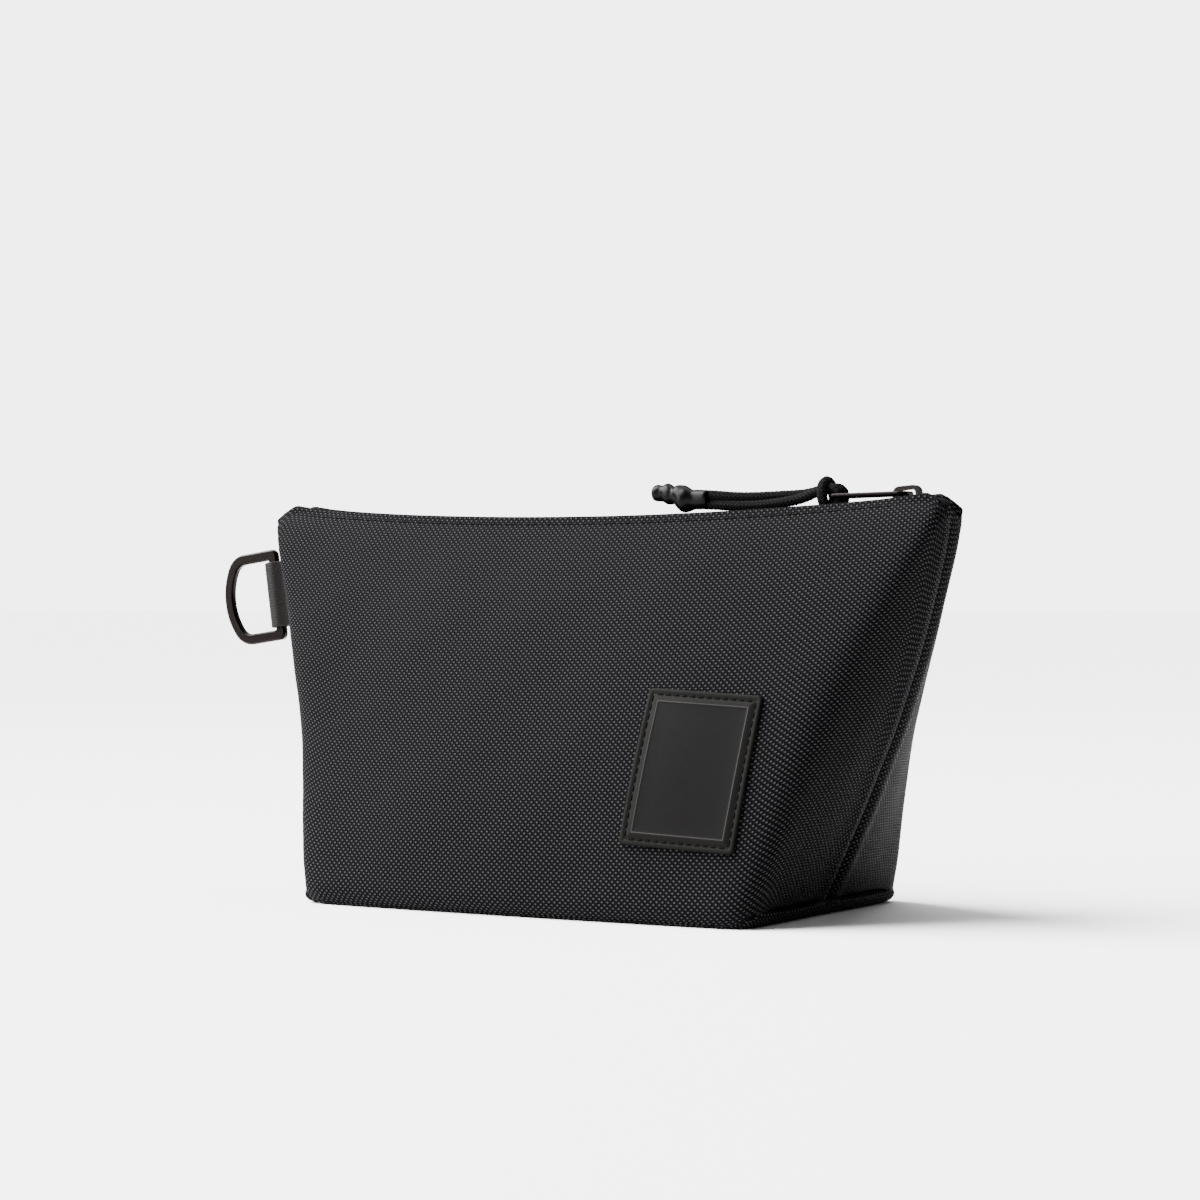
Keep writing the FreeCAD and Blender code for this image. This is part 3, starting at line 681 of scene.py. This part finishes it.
def outer_surface(side, seed):
    """The bag's outside on the front (-1) or the back (+1): rows from the base up, columns seam to seam."""
    shares = column_shares()
    rise = row_shares()
    columns = len(shares)
    grid = np.zeros((len(rise), columns, 3))
    heights = np.linspace(0, 150 * MM, 76)
    guess = np.stack([section(z, shares) for z in heights])
    for j in range(columns):
        x_top = np.interp(140 * MM, heights, guess[:, j, 0])
        edge_share = min(shares[j], 1 - shares[j])
        side_part = 1 / (1 + math.exp((edge_share - 0.175) / 0.012))
        low = 0.15 * MM + side_part * (BASE_SEAM_Z - 0.7 * MM)
        high = float(hem_z(x_top))
        for i, r in enumerate(rise):
            z = low + (high - low) * r
            x = np.interp(z, heights, guess[:, j, 0])
            y = np.interp(z, heights, guess[:, j, 1])
            under = np.clip(1 - z / BASE_SEAM_Z, 0, 1)
            tuck = FOOT_INSET * (1 - math.sqrt(1 - under**2)) * (1 - side_part)
            scale = 1 - tuck / math.hypot(x, y)
            grid[i, j] = (x * scale, y * scale * side, z)
    return relief(grid, shares, side, seed)


def outward(grid, side):
    """Unit normals of a grid of points."""
    along = np.gradient(grid, axis=1)
    up = np.gradient(grid, axis=0)
    normal = np.cross(along, up)
    normal /= np.linalg.norm(normal, axis=2)[..., None]
    return normal * side


def relief(grid, shares, side, seed):
    """Handling marks over the faces, a tight valley at the side seams and puckers under the hem."""
    normal = outward(grid, side)
    x, z = grid[..., 0], grid[..., 2]
    from_seam = np.minimum(shares, 1 - shares)[None, :] * GIRTH
    from_hem = hem_z(x) - z
    calm = np.clip(from_hem / (18 * MM), 0, 1) * np.clip(z / (16 * MM), 0, 1)
    if side < 0:
        from_label = np.hypot(x - PATCH_MIDDLE.x, z - PATCH_MIDDLE.z)
        calm = calm * np.clip((from_label - 34 * MM) / (16 * MM), 0, 1)
    height = bumpiness(x, z, seed) * calm
    puff = 0.9 * MM * np.exp(-(((from_seam - 5.0 * MM) / (3.0 * MM)) ** 2))
    valley = -1.3 * MM * np.exp(-((from_seam / (1.4 * MM)) ** 2))
    height = height + (puff + valley) * np.clip(from_hem / (10 * MM), 0.25, 1)
    pucker = 0.10 * MM * np.sin(2 * math.pi * x / STITCH_PITCH)
    line = np.exp(-(((from_hem - HEM_STITCH_DROP) / (0.9 * MM)) ** 2))
    height = height + line * (pucker - 0.28 * MM) * np.clip(from_seam / (6 * MM), 0, 1)
    return grid + normal * height[..., None]


def cloth_body(grid, shares, side):
    """Outer rows, the fold over the hem and inner rows: a closed loop of points for each column."""
    normal = outward(grid, side)
    from_hem = hem_z(grid[..., 0]) - grid[..., 2]
    depth = CLOTH + (HEM_THICK - CLOTH) / (1 + np.exp((from_hem - HEM_DEPTH) / (0.5 * MM)))
    inner = grid - normal * depth[..., None]
    radius = depth[-1] / 2
    centre = (grid[-1] + inner[-1]) / 2
    up = np.array([0, 0, 1.0])
    fold = []
    for a in (30, 60, 90, 120, 150):
        turn = math.radians(a)
        out = normal[-1] * math.cos(turn) + up * math.sin(turn)
        fold.append(centre + out * radius[:, None])
    loop = np.concatenate([grid, np.array(fold), inner[::-1]])
    uv = np.zeros(loop.shape[:2] + (2,))
    uv[..., 0] = (shares[None, :] - 0.5) * GIRTH
    uv[..., 1] = travel_along(loop[:, HALF_COLUMNS])[:, None]
    return loop, uv


def loop_normals(loop):
    """Smooth normals of closed column loops."""
    along = np.gradient(loop, axis=1)
    around = np.roll(loop, -1, axis=0) - np.roll(loop, 1, axis=0)
    normal = np.cross(around, along)
    return normal / np.maximum(np.linalg.norm(normal, axis=2)[..., None], 1e-12)


def grid_piece(name, loop, uv, normals, first, last, mat, rows, flip):
    """One stretch of columns of the looped cloth as a closed mesh, with shading carried across its cuts."""
    part = loop[:, first:last + 1]
    around, columns = part.shape[:2]
    fold_rows = around - 2 * rows
    index = np.arange(around * columns).reshape(around, columns)
    faces = []
    for i in range(around):
        n = (i + 1) % around
        for j in range(columns - 1):
            faces.append((index[i, j], index[i, j + 1], index[n, j + 1], index[n, j]))
    body_faces = len(faces)
    for j in (0, columns - 1):
        for i in range(rows - 1):
            a, b = around - 1 - i, around - 2 - i
            faces.append((index[i, j], index[i + 1, j], index[b, j], index[a, j]))
        crown = [index[i, j] for i in range(rows - 1, rows + fold_rows + 1)]
        faces.append(tuple(crown))
    if flip:
        faces = [tuple(reversed(f)) for f in faces]
    faces = [tuple(int(v) for v in f) for f in faces]
    part_uv = uv[:, first:last + 1].reshape(-1, 2)
    made = new_object(name, part.reshape(-1, 3), faces, mat, part_uv)
    orient_caps(made, body_faces)
    chosen = normals[:, first:last + 1].reshape(-1, 3)
    mesh = made.data
    order = np.zeros(len(mesh.loops), int)
    mesh.loops.foreach_get("vertex_index", order)
    split = chosen[order]
    for poly in mesh.polygons:
        if poly.index >= body_faces:
            for k in poly.loop_indices:
                split[k] = poly.normal
                mesh.edges[mesh.loops[k].edge_index].use_edge_sharp = True
    mesh.normals_split_custom_set([tuple(n) for n in split])
    return made


def orient_caps(made, body_faces):
    """Turns the closing faces at both ends of a piece so that they point away from its middle."""
    mesh = made.data
    middle = np.mean([v.co for v in mesh.vertices], axis=0)
    wrong = [
        p.index
        for p in mesh.polygons
        if p.index >= body_faces and p.normal[0] * (p.center[0] - middle[0]) < 0
    ]
    for k in wrong:
        mesh.polygons[k].flip()
    mesh.update()


def open_blend(piece):
    """Bakes the piece's placement into its mesh."""
    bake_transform(piece)


def settle(made, node, sign=0):
    """Parents a fixed piece to the bag's body, or bakes the placement of a piece of the opening front into
    its mesh, and hides the CAD node that it replaces.

    The sign is 0 on the fixed back and base, and the side of the bag for a piece of the opening front.
    """
    if sign:
        open_blend(made)
    else:
        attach(made, "bag")
    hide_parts(node)


def stretches(side, first, last):
    """The back is one stretch of columns; the front is two that meet in the middle."""
    if side > 0:
        return [("", 0, first, last)]
    return [("_right", 1, first, HALF_COLUMNS), ("_left", -1, HALF_COLUMNS, last)]


def make_cloth(name, loop, uv, rows, side, first, last, mat, node):
    normals = loop_normals(loop) * side
    for end, sign, start, stop in stretches(side, first, last):
        made = grid_piece(name + end, loop, uv, normals, start, stop, mat, rows, side > 0)
        settle(made, node, sign)


def make_panel(name, grid, shares, side, node):
    loop, uv = cloth_body(grid, shares, side)
    make_cloth(name, loop, uv, len(grid), side, 0, len(shares) - 1, NYLON, node)


def bilinear(grid, i, j):
    i = min(max(i, 0), grid.shape[0] - 1.001)
    j = min(max(j, 0), grid.shape[1] - 1.001)
    a, b = int(i), int(j)
    u, v = i - a, j - b
    low = grid[a, b] * (1 - v) + grid[a, b + 1] * v
    high = grid[a + 1, b] * (1 - v) + grid[a + 1, b + 1] * v
    return low * (1 - u) + high * u


def on_surface(grid, side, x, z):
    """The point of the cloth's outside at x and z on a face, and the outward normal there."""
    middle = grid.shape[1] / 2
    j = middle * (1 - x / SEAM_TOP)
    i = grid.shape[0] * z / BAG_HEIGHT
    for _ in range(14):
        here = bilinear(grid, i, j)
        du = bilinear(grid, i + 0.5, j) - bilinear(grid, i - 0.5, j)
        dv = bilinear(grid, i, j + 0.5) - bilinear(grid, i, j - 0.5)
        matrix = np.array([[du[0], dv[0]], [du[2], dv[2]]])
        step = np.linalg.solve(matrix, np.array([x - here[0], z - here[2]]))
        i += float(np.clip(step[0], -15, 15))
        j += float(np.clip(step[1], -15, 15))
    du = bilinear(grid, i + 2, j) - bilinear(grid, i - 2, j)
    dv = bilinear(grid, i, j + 2) - bilinear(grid, i, j - 2)
    normal = np.cross(dv, du)
    normal /= np.linalg.norm(normal)
    if normal[1] * side < 0:
        normal = -normal
    return bilinear(grid, i, j), normal


# ---------------------------------------------------------------- what repeats: stitches and coil turns
def marks_object(points, ahead, normals):
    """A cloud of points, each with the turn that its copy takes."""
    mesh = bpy.data.meshes.new("marks")
    mesh.from_pydata([tuple(p) for p in points], [], [])
    turns = mesh.attributes.new("turn", "FLOAT_VECTOR", "POINT")
    for k, (forward, normal) in enumerate(zip(ahead, normals)):
        x = Vector(forward).normalized()
        z = Vector(normal)
        y = z.cross(x).normalized()
        z = x.cross(y)
        turns.data[k].vector = Matrix((x, y, z)).transposed().to_euler()
    made = bpy.data.objects.new("marks", mesh)
    bpy.context.scene.collection.objects.link(made)
    return made


def repeat_tree(name, sizes):
    """A tree that takes marks and sizes; returns the tree and its input and output nodes."""
    tree = bpy.data.node_groups.new(name, "GeometryNodeTree")
    tree.interface.new_socket("Geometry", in_out="INPUT", socket_type="NodeSocketGeometry")
    for size in sizes:
        tree.interface.new_socket(size, in_out="INPUT", socket_type="NodeSocketFloat")
    tree.interface.new_socket("Material", in_out="INPUT", socket_type="NodeSocketMaterial")
    tree.interface.new_socket("Geometry", in_out="OUTPUT", socket_type="NodeSocketGeometry")
    return tree, add(tree, "NodeGroupInput").outputs, add(tree, "NodeGroupOutput")


def place_copies(tree, given, out, shape):
    """Puts a copy of shape on every mark, turned as the mark says, as real geometry in its material."""
    marks = add(tree, "GeometryNodeMeshToPoints", {"Mesh": given["Geometry"]}).outputs[0]
    turn = add(tree, "GeometryNodeInputNamedAttribute", {"Name": "turn"}, data_type="FLOAT_VECTOR")
    rotation = add(tree, "FunctionNodeEulerToRotation", {0: turn.outputs[0]}).outputs[0]
    copies = add(
        tree,
        "GeometryNodeInstanceOnPoints",
        {"Points": marks, "Instance": shape, "Rotation": rotation},
    ).outputs[0]
    real = add(tree, "GeometryNodeRealizeInstances", {0: copies}).outputs[0]
    smooth = add(tree, "GeometryNodeSetShadeSmooth", {0: real}).outputs[0]
    painted = add(tree, "GeometryNodeSetMaterial", {"Geometry": smooth, "Material": given["Material"]})
    tree.links.new(painted.outputs[0], out.inputs[0])


def stitch_tree():
    """One thread stitch: a grain of thread, longer than it is thick."""
    tree, given, out = repeat_tree("stitches", ["Stitch Length", "Thread Radius"])
    grain = add(tree, "GeometryNodeMeshUVSphere", {"Segments": 8, "Rings": 6, "Radius": 1.0}).outputs[0]
    half = add(tree, "ShaderNodeMath", {0: given["Stitch Length"], 1: 0.5}, operation="MULTIPLY").outputs[0]
    radius = given["Thread Radius"]
    size = add(tree, "ShaderNodeCombineXYZ", {0: half, 1: radius, 2: radius}).outputs[0]
    shaped = add(tree, "GeometryNodeTransform", {"Geometry": grain, "Scale": size}).outputs[0]
    place_copies(tree, given, out, shaped)
    return tree


def coil_tree():
    """One turn of a zipper's coil: an oval loop of monofilament lying across the chain."""
    tree, given, out = repeat_tree("coil_turns", ["Turn Width", "Turn Height", "Wire Radius"])
    ring = add(tree, "GeometryNodeCurvePrimitiveCircle", {"Resolution": 12, "Radius": 0.5}).outputs[0]
    size = add(
        tree,
        "ShaderNodeCombineXYZ",
        {0: given["Turn Width"], 1: given["Turn Height"], 2: 1.0},
    ).outputs[0]
    oval = add(tree, "GeometryNodeTransform", {"Geometry": ring, "Scale": size}).outputs[0]
    wire = add(
        tree,
        "GeometryNodeCurvePrimitiveCircle",
        {"Resolution": 5, "Radius": given["Wire Radius"]},
    ).outputs[0]
    turn = add(tree, "GeometryNodeCurveToMesh", {"Curve": oval, "Profile Curve": wire}).outputs[0]
    place_copies(tree, given, out, turn)
    return tree


def repeated(name, tree, marks, sizes, mat):
    """Runs a tree on marks and keeps the result as a plain mesh."""
    runner = marks.modifiers.new("copies", "NODES")
    runner.node_group = tree
    values = dict(sizes, Material=mat)
    for item in tree.interface.items_tree:
        if item.in_out == "INPUT" and item.name in values:
            runner[item.identifier] = values[item.name]
    mesh = evaluated_mesh(marks, name)
    bpy.data.objects.remove(marks)
    made = bpy.data.objects.new(name, mesh)
    bpy.context.scene.collection.objects.link(made)
    return made


STITCHES = stitch_tree()
COIL_TURNS = coil_tree()


def stitch_row(name, points, ahead, normals):
    marks = marks_object(points, ahead, normals)
    return repeated(
        name,
        STITCHES,
        marks,
        {"Stitch Length": STITCH_LENGTH, "Thread Radius": THREAD_RADIUS},
        THREAD,
    )


def stitches_on(grid, side, spots, lift, name):
    """Stitches at (x, z, slope) spots of a face, half sunk in the cloth."""
    points, ahead, normals = [], [], []
    for x, z, slope in spots:
        point, normal = on_surface(grid, side, x, z)
        beyond, _ = on_surface(grid, side, x + MM * math.cos(slope), z + MM * math.sin(slope))
        points.append(point + normal * lift)
        ahead.append(beyond - point)
        normals.append(normal)
    return stitch_row(name, points, ahead, normals)


def hem_spots(low, high):
    count = int(2 * HEM_HIGH.x / STITCH_PITCH)
    spots = []
    for k in range(count):
        x = HEM_LOW.x + (k + 0.5) * STITCH_PITCH
        if low <= x < high:
            spots.append((x, float(hem_z(x, HEM_STITCH_DROP)), x / HEM_RADIUS))
    return spots


def make_topstitch(grids):
    lift = 0.05 * MM
    for sign, low, high in ((1, 0.0, 1.0), (-1, -1.0, 0.0)):
        name = "front_topstitch_" + ("right" if sign > 0 else "left")
        made = stitches_on(grids[-1], -1, hem_spots(low, high), lift, name)
        settle(made, "front_topstitch", sign)
    made = stitches_on(grids[1], 1, hem_spots(-1.0, 1.0), lift, "back_topstitch_run")
    settle(made, "back_topstitch")


# ---------------------------------------------------------------- linings
def make_linings(grids, shares):
    for side, name in ((-1, "front_lining"), (1, "back_lining")):
        rows = slice(LINING_LOW_ROW, int(ROWS * LINING_TOP))
        normal = outward(grids[side], side)
        outer = (grids[side] - normal * LINING_DEPTH)[rows]
        inner = outer - normal[rows] * LINING_THICK
        loop = np.concatenate([outer, inner[::-1]])
        uv = np.zeros(loop.shape[:2] + (2,))
        uv[..., 0] = (shares[None, :] - 0.5) * 280 * MM
        uv[..., 1] = loop[:, HALF_COLUMNS, 2][:, None]
        full_name = name + ("_cloth" if side > 0 else "")
        last = len(shares) - 2
        make_cloth(full_name, loop, uv, len(outer), side, 1, last, LINING, name)


# ---------------------------------------------------------------- the base
def make_base():
    """The base: flat cloth under the bag that rolls up to the boxed seam at each side."""
    around = 240
    turn = np.arange(around) / around * 2 * math.pi
    shares = np.linspace(0, 1, around // 2 + 1)[:-1]
    front = section(BASE_SEAM_Z, shares)
    outline = np.concatenate([front * (1, -1), front * (-1, 1)])
    reach = np.abs(outline[:, 0]) / outline[:, 0].max()
    sideways = 1 / (1 + np.exp((0.962 - reach) / 0.006))
    rings = []
    profile = [(0.0, 0.00), (0.35, 0.10), (0.7, 0.33), (0.93, 0.66), (1.0, 1.0), (0.93, 1.33), (0.70, 1.62)]
    roll = BASE_SEAM_Z / 2
    for out, up in profile:
        inset = FOOT_INSET * (1 - out) * 0.9 + (1 - sideways) * 2.2 * MM - sideways * 0.5 * MM
        z = np.full(around, 0.05 * MM) + roll * up * (0.25 + 0.75 * sideways)
        length = np.hypot(outline[:, 0], outline[:, 1])
        scaled = outline * (1 - inset / length)[:, None]
        rings.append(np.column_stack([scaled, z]))
    shelf = rings[-1].copy()
    shelf[:, :2] *= 0.95
    rings.append(shelf)
    bottom = rings[0].copy()
    bottom[:, :2] *= 0.9
    rings.insert(0, bottom)
    points = np.concatenate(rings)
    faces = tube_faces(len(rings), around)
    uvs = points[:, [1, 0]] + points[:, [2, 2]] * (0.0, 1.0)
    made = new_object("base_panel_cloth", points, faces, NYLON, uvs)
    fix_normals(made)
    settle(made, "base_panel")


# ---------------------------------------------------------------- the label patch
def rounded_outline(width, height, radius, per_corner, per_edge):
    """Points round a rectangle with rounded corners, always the same number."""
    radius = max(radius, 0.2 * MM)
    points = []
    corners = [(1, -1, -90), (1, 1, 0), (-1, 1, 90), (-1, -1, 180)]
    for k, (sx, sy, begin) in enumerate(corners):
        centre = np.array([sx * (width / 2 - radius), sy * (height / 2 - radius)])
        for n in range(per_corner):
            a = math.radians(begin + 90 * n / (per_corner - 1))
            points.append(centre + radius * np.array([math.cos(a), math.sin(a)]))
        nx, ny, _ = corners[(k + 1) % 4]
        following = np.array([nx * (width / 2 - radius), ny * (height / 2 - radius)])
        begin_next = math.radians(corners[(k + 1) % 4][2])
        last = points[-1]
        target = following + radius * np.array([math.cos(begin_next), math.sin(begin_next)])
        for n in range(1, per_edge):
            points.append(last + (target - last) * n / per_edge)
    return np.array(points)


def patch_spot(a, b):
    """A place on the patch's own plan as x and z on the bag's front."""
    x = PATCH_MIDDLE.x + a * math.cos(PATCH_TURN) - b * math.sin(PATCH_TURN)
    z = PATCH_MIDDLE.z + a * math.sin(PATCH_TURN) + b * math.cos(PATCH_TURN)
    return x, z


def make_patch(grid):
    """A thick moulded label: rounded edge, a groove for its stitches and a fine printed frame."""
    # Inset from the edge and height over the cloth, in millimetres.
    rings = [
        (0.0, -0.3), (0.0, 0.75), (0.12, 1.08), (0.35, 1.25), (0.7, 1.3), (1.4, 1.3), (1.65, 1.14),
        (2.0, 1.08), (2.35, 1.14), (2.6, 1.3), (4.0, 1.3), (4.12, 1.34), (4.34, 1.34), (4.46, 1.3),
        (5.2, 1.24), (9.0, 1.24), (14.0, 1.24), (20.0, 1.24),
    ]
    width, height = PATCH_SIZE
    per_corner, per_edge = 7, 22
    points = []
    for inset, lift in rings:
        cut = inset * MM
        plan = rounded_outline(width - 2 * cut, height - 2 * cut, PATCH_CORNER - cut, per_corner, per_edge)
        for a, b in plan:
            place, normal = on_surface(grid, -1, *patch_spot(a, b))
            points.append(place + normal * lift * MM)
    around = len(plan)
    centre, normal = on_surface(grid, -1, *patch_spot(0, 0))
    points.append(centre + normal * rings[-1][1] * MM)
    points.append(centre - normal * PATCH_SINK)
    faces, slots = [], []
    for i in range(len(rings) - 1):
        for k in range(around):
            m = (k + 1) % around
            faces.append((i * around + k, i * around + m, (i + 1) * around + m, (i + 1) * around + k))
            slots.append(2 if i in (11, 12) else (1 if i >= 13 else 0))
    last = (len(rings) - 1) * around
    for k in range(around):
        m = (k + 1) % around
        faces.append((last + k, last + m, len(points) - 2))
        faces.append((m, k, len(points) - 1))
        slots += [1, 0]
    made = new_object("label_patch_rubber", points, faces, PATCH)
    made.data.materials.append(PATCH_FIELD)
    made.data.materials.append(PATCH_FRAME)
    made.data.polygons.foreach_set("material_index", slots)
    fix_normals(made)
    settle(made, "label_patch", 1)


def make_patch_stitches(grid):
    half_w, half_h = (size / 2 - PATCH_STITCH_INSET for size in PATCH_SIZE)
    spots = []
    for along, across, flat in ((half_w, half_h, True), (half_h, half_w, False)):
        count = int(2 * along / STITCH_PITCH)
        for k in range(count):
            s = (k + 0.5 - count / 2) * STITCH_PITCH
            for edge in (-across, across):
                spot = patch_spot(s, edge) if flat else patch_spot(edge, s)
                slope = PATCH_TURN + (0 if flat else math.pi / 2)
                spots.append((*spot, slope))
    made = stitches_on(grid, -1, spots, PATCH_THICK - 0.08 * MM, "label_patch_stitches")
    settle(made, "patch_stitches", 1)


# ---------------------------------------------------------------- the zipper
def zip_frame(x, drop):
    """A point on the zipper's sagging line, with the directions along it and up from it."""
    radius = HEM_RADIUS + drop
    turn = x / radius
    place = np.array([radius * math.sin(turn), 0, ARC_CENTRE_Z - radius * math.cos(turn)])
    ahead = np.array([math.cos(turn), 0, math.sin(turn)])
    return place, ahead, np.array([-ahead[2], 0, ahead[0]])


def zip_stretches(side):
    """The back chain is one piece; the front chain is two, like the cloth that it is sewn to."""
    if side > 0:
        return [("", 0, -1.0, 1.0)]
    return [("_right", 1, 0.0, 1.0), ("_left", -1, -1.0, 0.0)]


def make_tape(side, grids):
    """Woven tape from the chain to under the hem, with raised ribs along it."""
    columns = 90
    across = 14
    inner = 2.0 * MM             # from the middle plane to the tape's free edge
    drop = 3.1 * MM              # the tape lies this far under the mouth's edge
    thick = 0.5 * MM
    node = "zipper_tape_back" if side > 0 else "zipper_tape_front"
    for label, sign, low, high in zip_stretches(side):
        points, uvs = [], []
        for x in np.linspace(max(low, TAPE_LOW.x), min(high, TAPE_HIGH.x), columns):
            place, _, up = zip_frame(x, drop)
            reach = float(np.clip(x, -0.128, 0.128))
            wall, _ = on_surface(grids[side], side, reach, place[2] - 1 * MM)
            outer = min(abs(wall[1]) - 1.5 * MM, 9 * MM)
            ys = np.linspace(inner, outer, across)
            ribs = 0.06 * MM * np.sin(2 * math.pi * ys / (1.1 * MM))
            top = [place + up * rib + np.array([0, side * y, 0]) for y, rib in zip(ys, ribs)]
            bottom = [place - up * thick + np.array([0, side * y, 0]) for y in ys]
            points += top + bottom[::-1]
            uvs += [(x, y) for y in (*ys, *ys[::-1])]
        faces = tube_faces(columns, 2 * across)
        made = new_object(node + "_cloth" + label, points, faces, TAPE, uvs)
        fix_normals(made)
        settle(made, node, sign)


def make_coil(side):
    """Turns of monofilament, half a pitch apart on the two sides so that they mesh."""
    pitch = 1.25 * MM
    drop = 2.0 * MM
    aside = 1.55 * MM
    sizes = {"Turn Width": 3.7 * MM, "Turn Height": 1.7 * MM, "Wire Radius": 0.36 * MM}
    node = "zipper_coil_back" if side > 0 else "zipper_coil_front"
    offset = 0.5 if side > 0 else 0.0
    count = int((COIL_HIGH.x - COIL_LOW.x) / pitch)
    for label, sign, low, high in zip_stretches(side):
        points, ahead, normals = [], [], []
        for k in range(count):
            x = COIL_LOW.x + (k + offset) * pitch
            if not low <= x < high:
                continue
            place, forward, _ = zip_frame(x, drop)
            points.append(place + np.array([0, side * aside, 0]))
            ahead.append((0, side, 0))
            normals.append(forward)
        marks = marks_object(points, ahead, normals)
        made = repeated(node + "_turns" + label, COIL_TURNS, marks, sizes, COIL)
        settle(made, node, sign)


# ---------------------------------------------------------------- the ring's tab
def make_tab():
    """Webbing folded round the ring's bar; its two layers close up on their way into the seam."""
    pivot = Vector(joints["ring_swing"]["pos_m"])
    axis = Vector(joints["ring_swing"]["axis"])
    sideways = Vector((axis.z, 0, -axis.x))
    half_loop = 3.15 * MM
    leave = 3.2 * MM             # the loop ends and the two layers begin here
    reach = 15.0 * MM
    closed = 0.72 * MM           # half the distance of the two layers once they lie together
    spread = 1.1 * MM            # and this much more where they leave the loop
    closing = 4.5 * MM
    thick = 1.25 * MM
    layer = []
    for x in np.linspace(reach, leave, 14):
        layer.append((x, closed + spread * (1 - min(1, (x - leave) / closing)) ** 2))
    bend = []
    for a in np.linspace(55, 305, 26):
        t = math.radians(a)
        bend.append((half_loop * math.cos(t), half_loop * math.sin(t)))
    path = np.array(layer + bend + [(x, -y) for x, y in reversed(layer)])
    run = np.gradient(path, axis=0)
    run /= np.linalg.norm(run, axis=1)[:, None]
    out = np.column_stack([run[:, 1], -run[:, 0]])
    profile = np.concatenate([path + out * thick / 2, (path - out * thick / 2)[::-1]])
    travel = travel_along(path)
    along = np.concatenate([travel, travel[::-1]])
    levels = [-12.5, -12.42, -12.2, -11.4, -7, 0, 7, 11.4, 12.2, 12.42, 12.5]
    squeeze = [0.45, 0.75, 0.95, 1, 1, 1, 1, 1, 0.95, 0.75, 0.45]
    middle = np.concatenate([path, path[::-1]])
    points, uvs = [], []
    for level, share in zip(levels, squeeze):
        shape = middle + (profile - middle) * share
        for (x, y), u in zip(shape, along):
            points.append(pivot + sideways * x + Vector((0, y, 0)) + axis * level * MM)
            uvs.append((u, level * MM))
    around = len(profile)
    made = new_object("d_ring_tab_webbing", points, tube_faces(len(levels), around), WEBBING, uvs)
    fix_normals(made)
    settle(made, "d_ring_tab")
    return pivot, axis, sideways


def make_tab_stitches(pivot, axis, sideways):
    """A row of stitches across the tab, on both of its faces."""
    count = 8
    pitch = 2.9 * MM
    from_bar = 6.9 * MM
    lift = 1.42 * MM
    points, ahead, normals = [], [], []
    for side in (-1, 1):
        for k in range(count):
            level = (k + 0.5 - count / 2) * pitch
            points.append(pivot + sideways * from_bar + Vector((0, side * lift, 0)) + axis * level)
            ahead.append(axis)
            normals.append((0, side, 0))
    made = stitch_row("tab_stitch_run", points, ahead, normals)
    settle(made, "tab_stitches")


# ---------------------------------------------------------------- CAD pieces that stay as they are
def paint(node, mat):
    """Gives a CAD node a finished material."""
    piece = bpy.data.objects[node]
    piece.data.materials.clear()
    piece.data.materials.append(mat)


def paint_cad():
    finishes = {
        "slider_body": SLIDER_METAL,
        "slider_crown": SLIDER_METAL,
        "puller_wire": SLIDER_METAL,
        "d_ring": RING_METAL,
        "zipper_end_left": MATT_NYLON,
        "zipper_end_right": MATT_NYLON,
        "base_lining": MATT_NYLON,
    }
    for node, mat in finishes.items():
        paint(node, mat)


make_stage()
make_camera()
make_lights()
make_cord()
paint_cad()
surfaces = {-1: outer_surface(-1, 1), 1: outer_surface(1, 4)}
cloth_shares = column_shares()
make_panel("front_panel_cloth", surfaces[-1], cloth_shares, -1, "front_panel")
make_panel("back_panel_cloth", surfaces[1], cloth_shares, 1, "back_panel")
make_linings(surfaces, cloth_shares)
make_base()
make_topstitch(surfaces)
make_patch(surfaces[-1])
make_patch_stitches(surfaces[-1])
for side in (-1, 1):
    make_tape(side, surfaces)
    make_coil(side)
make_tab_stitches(*make_tab())
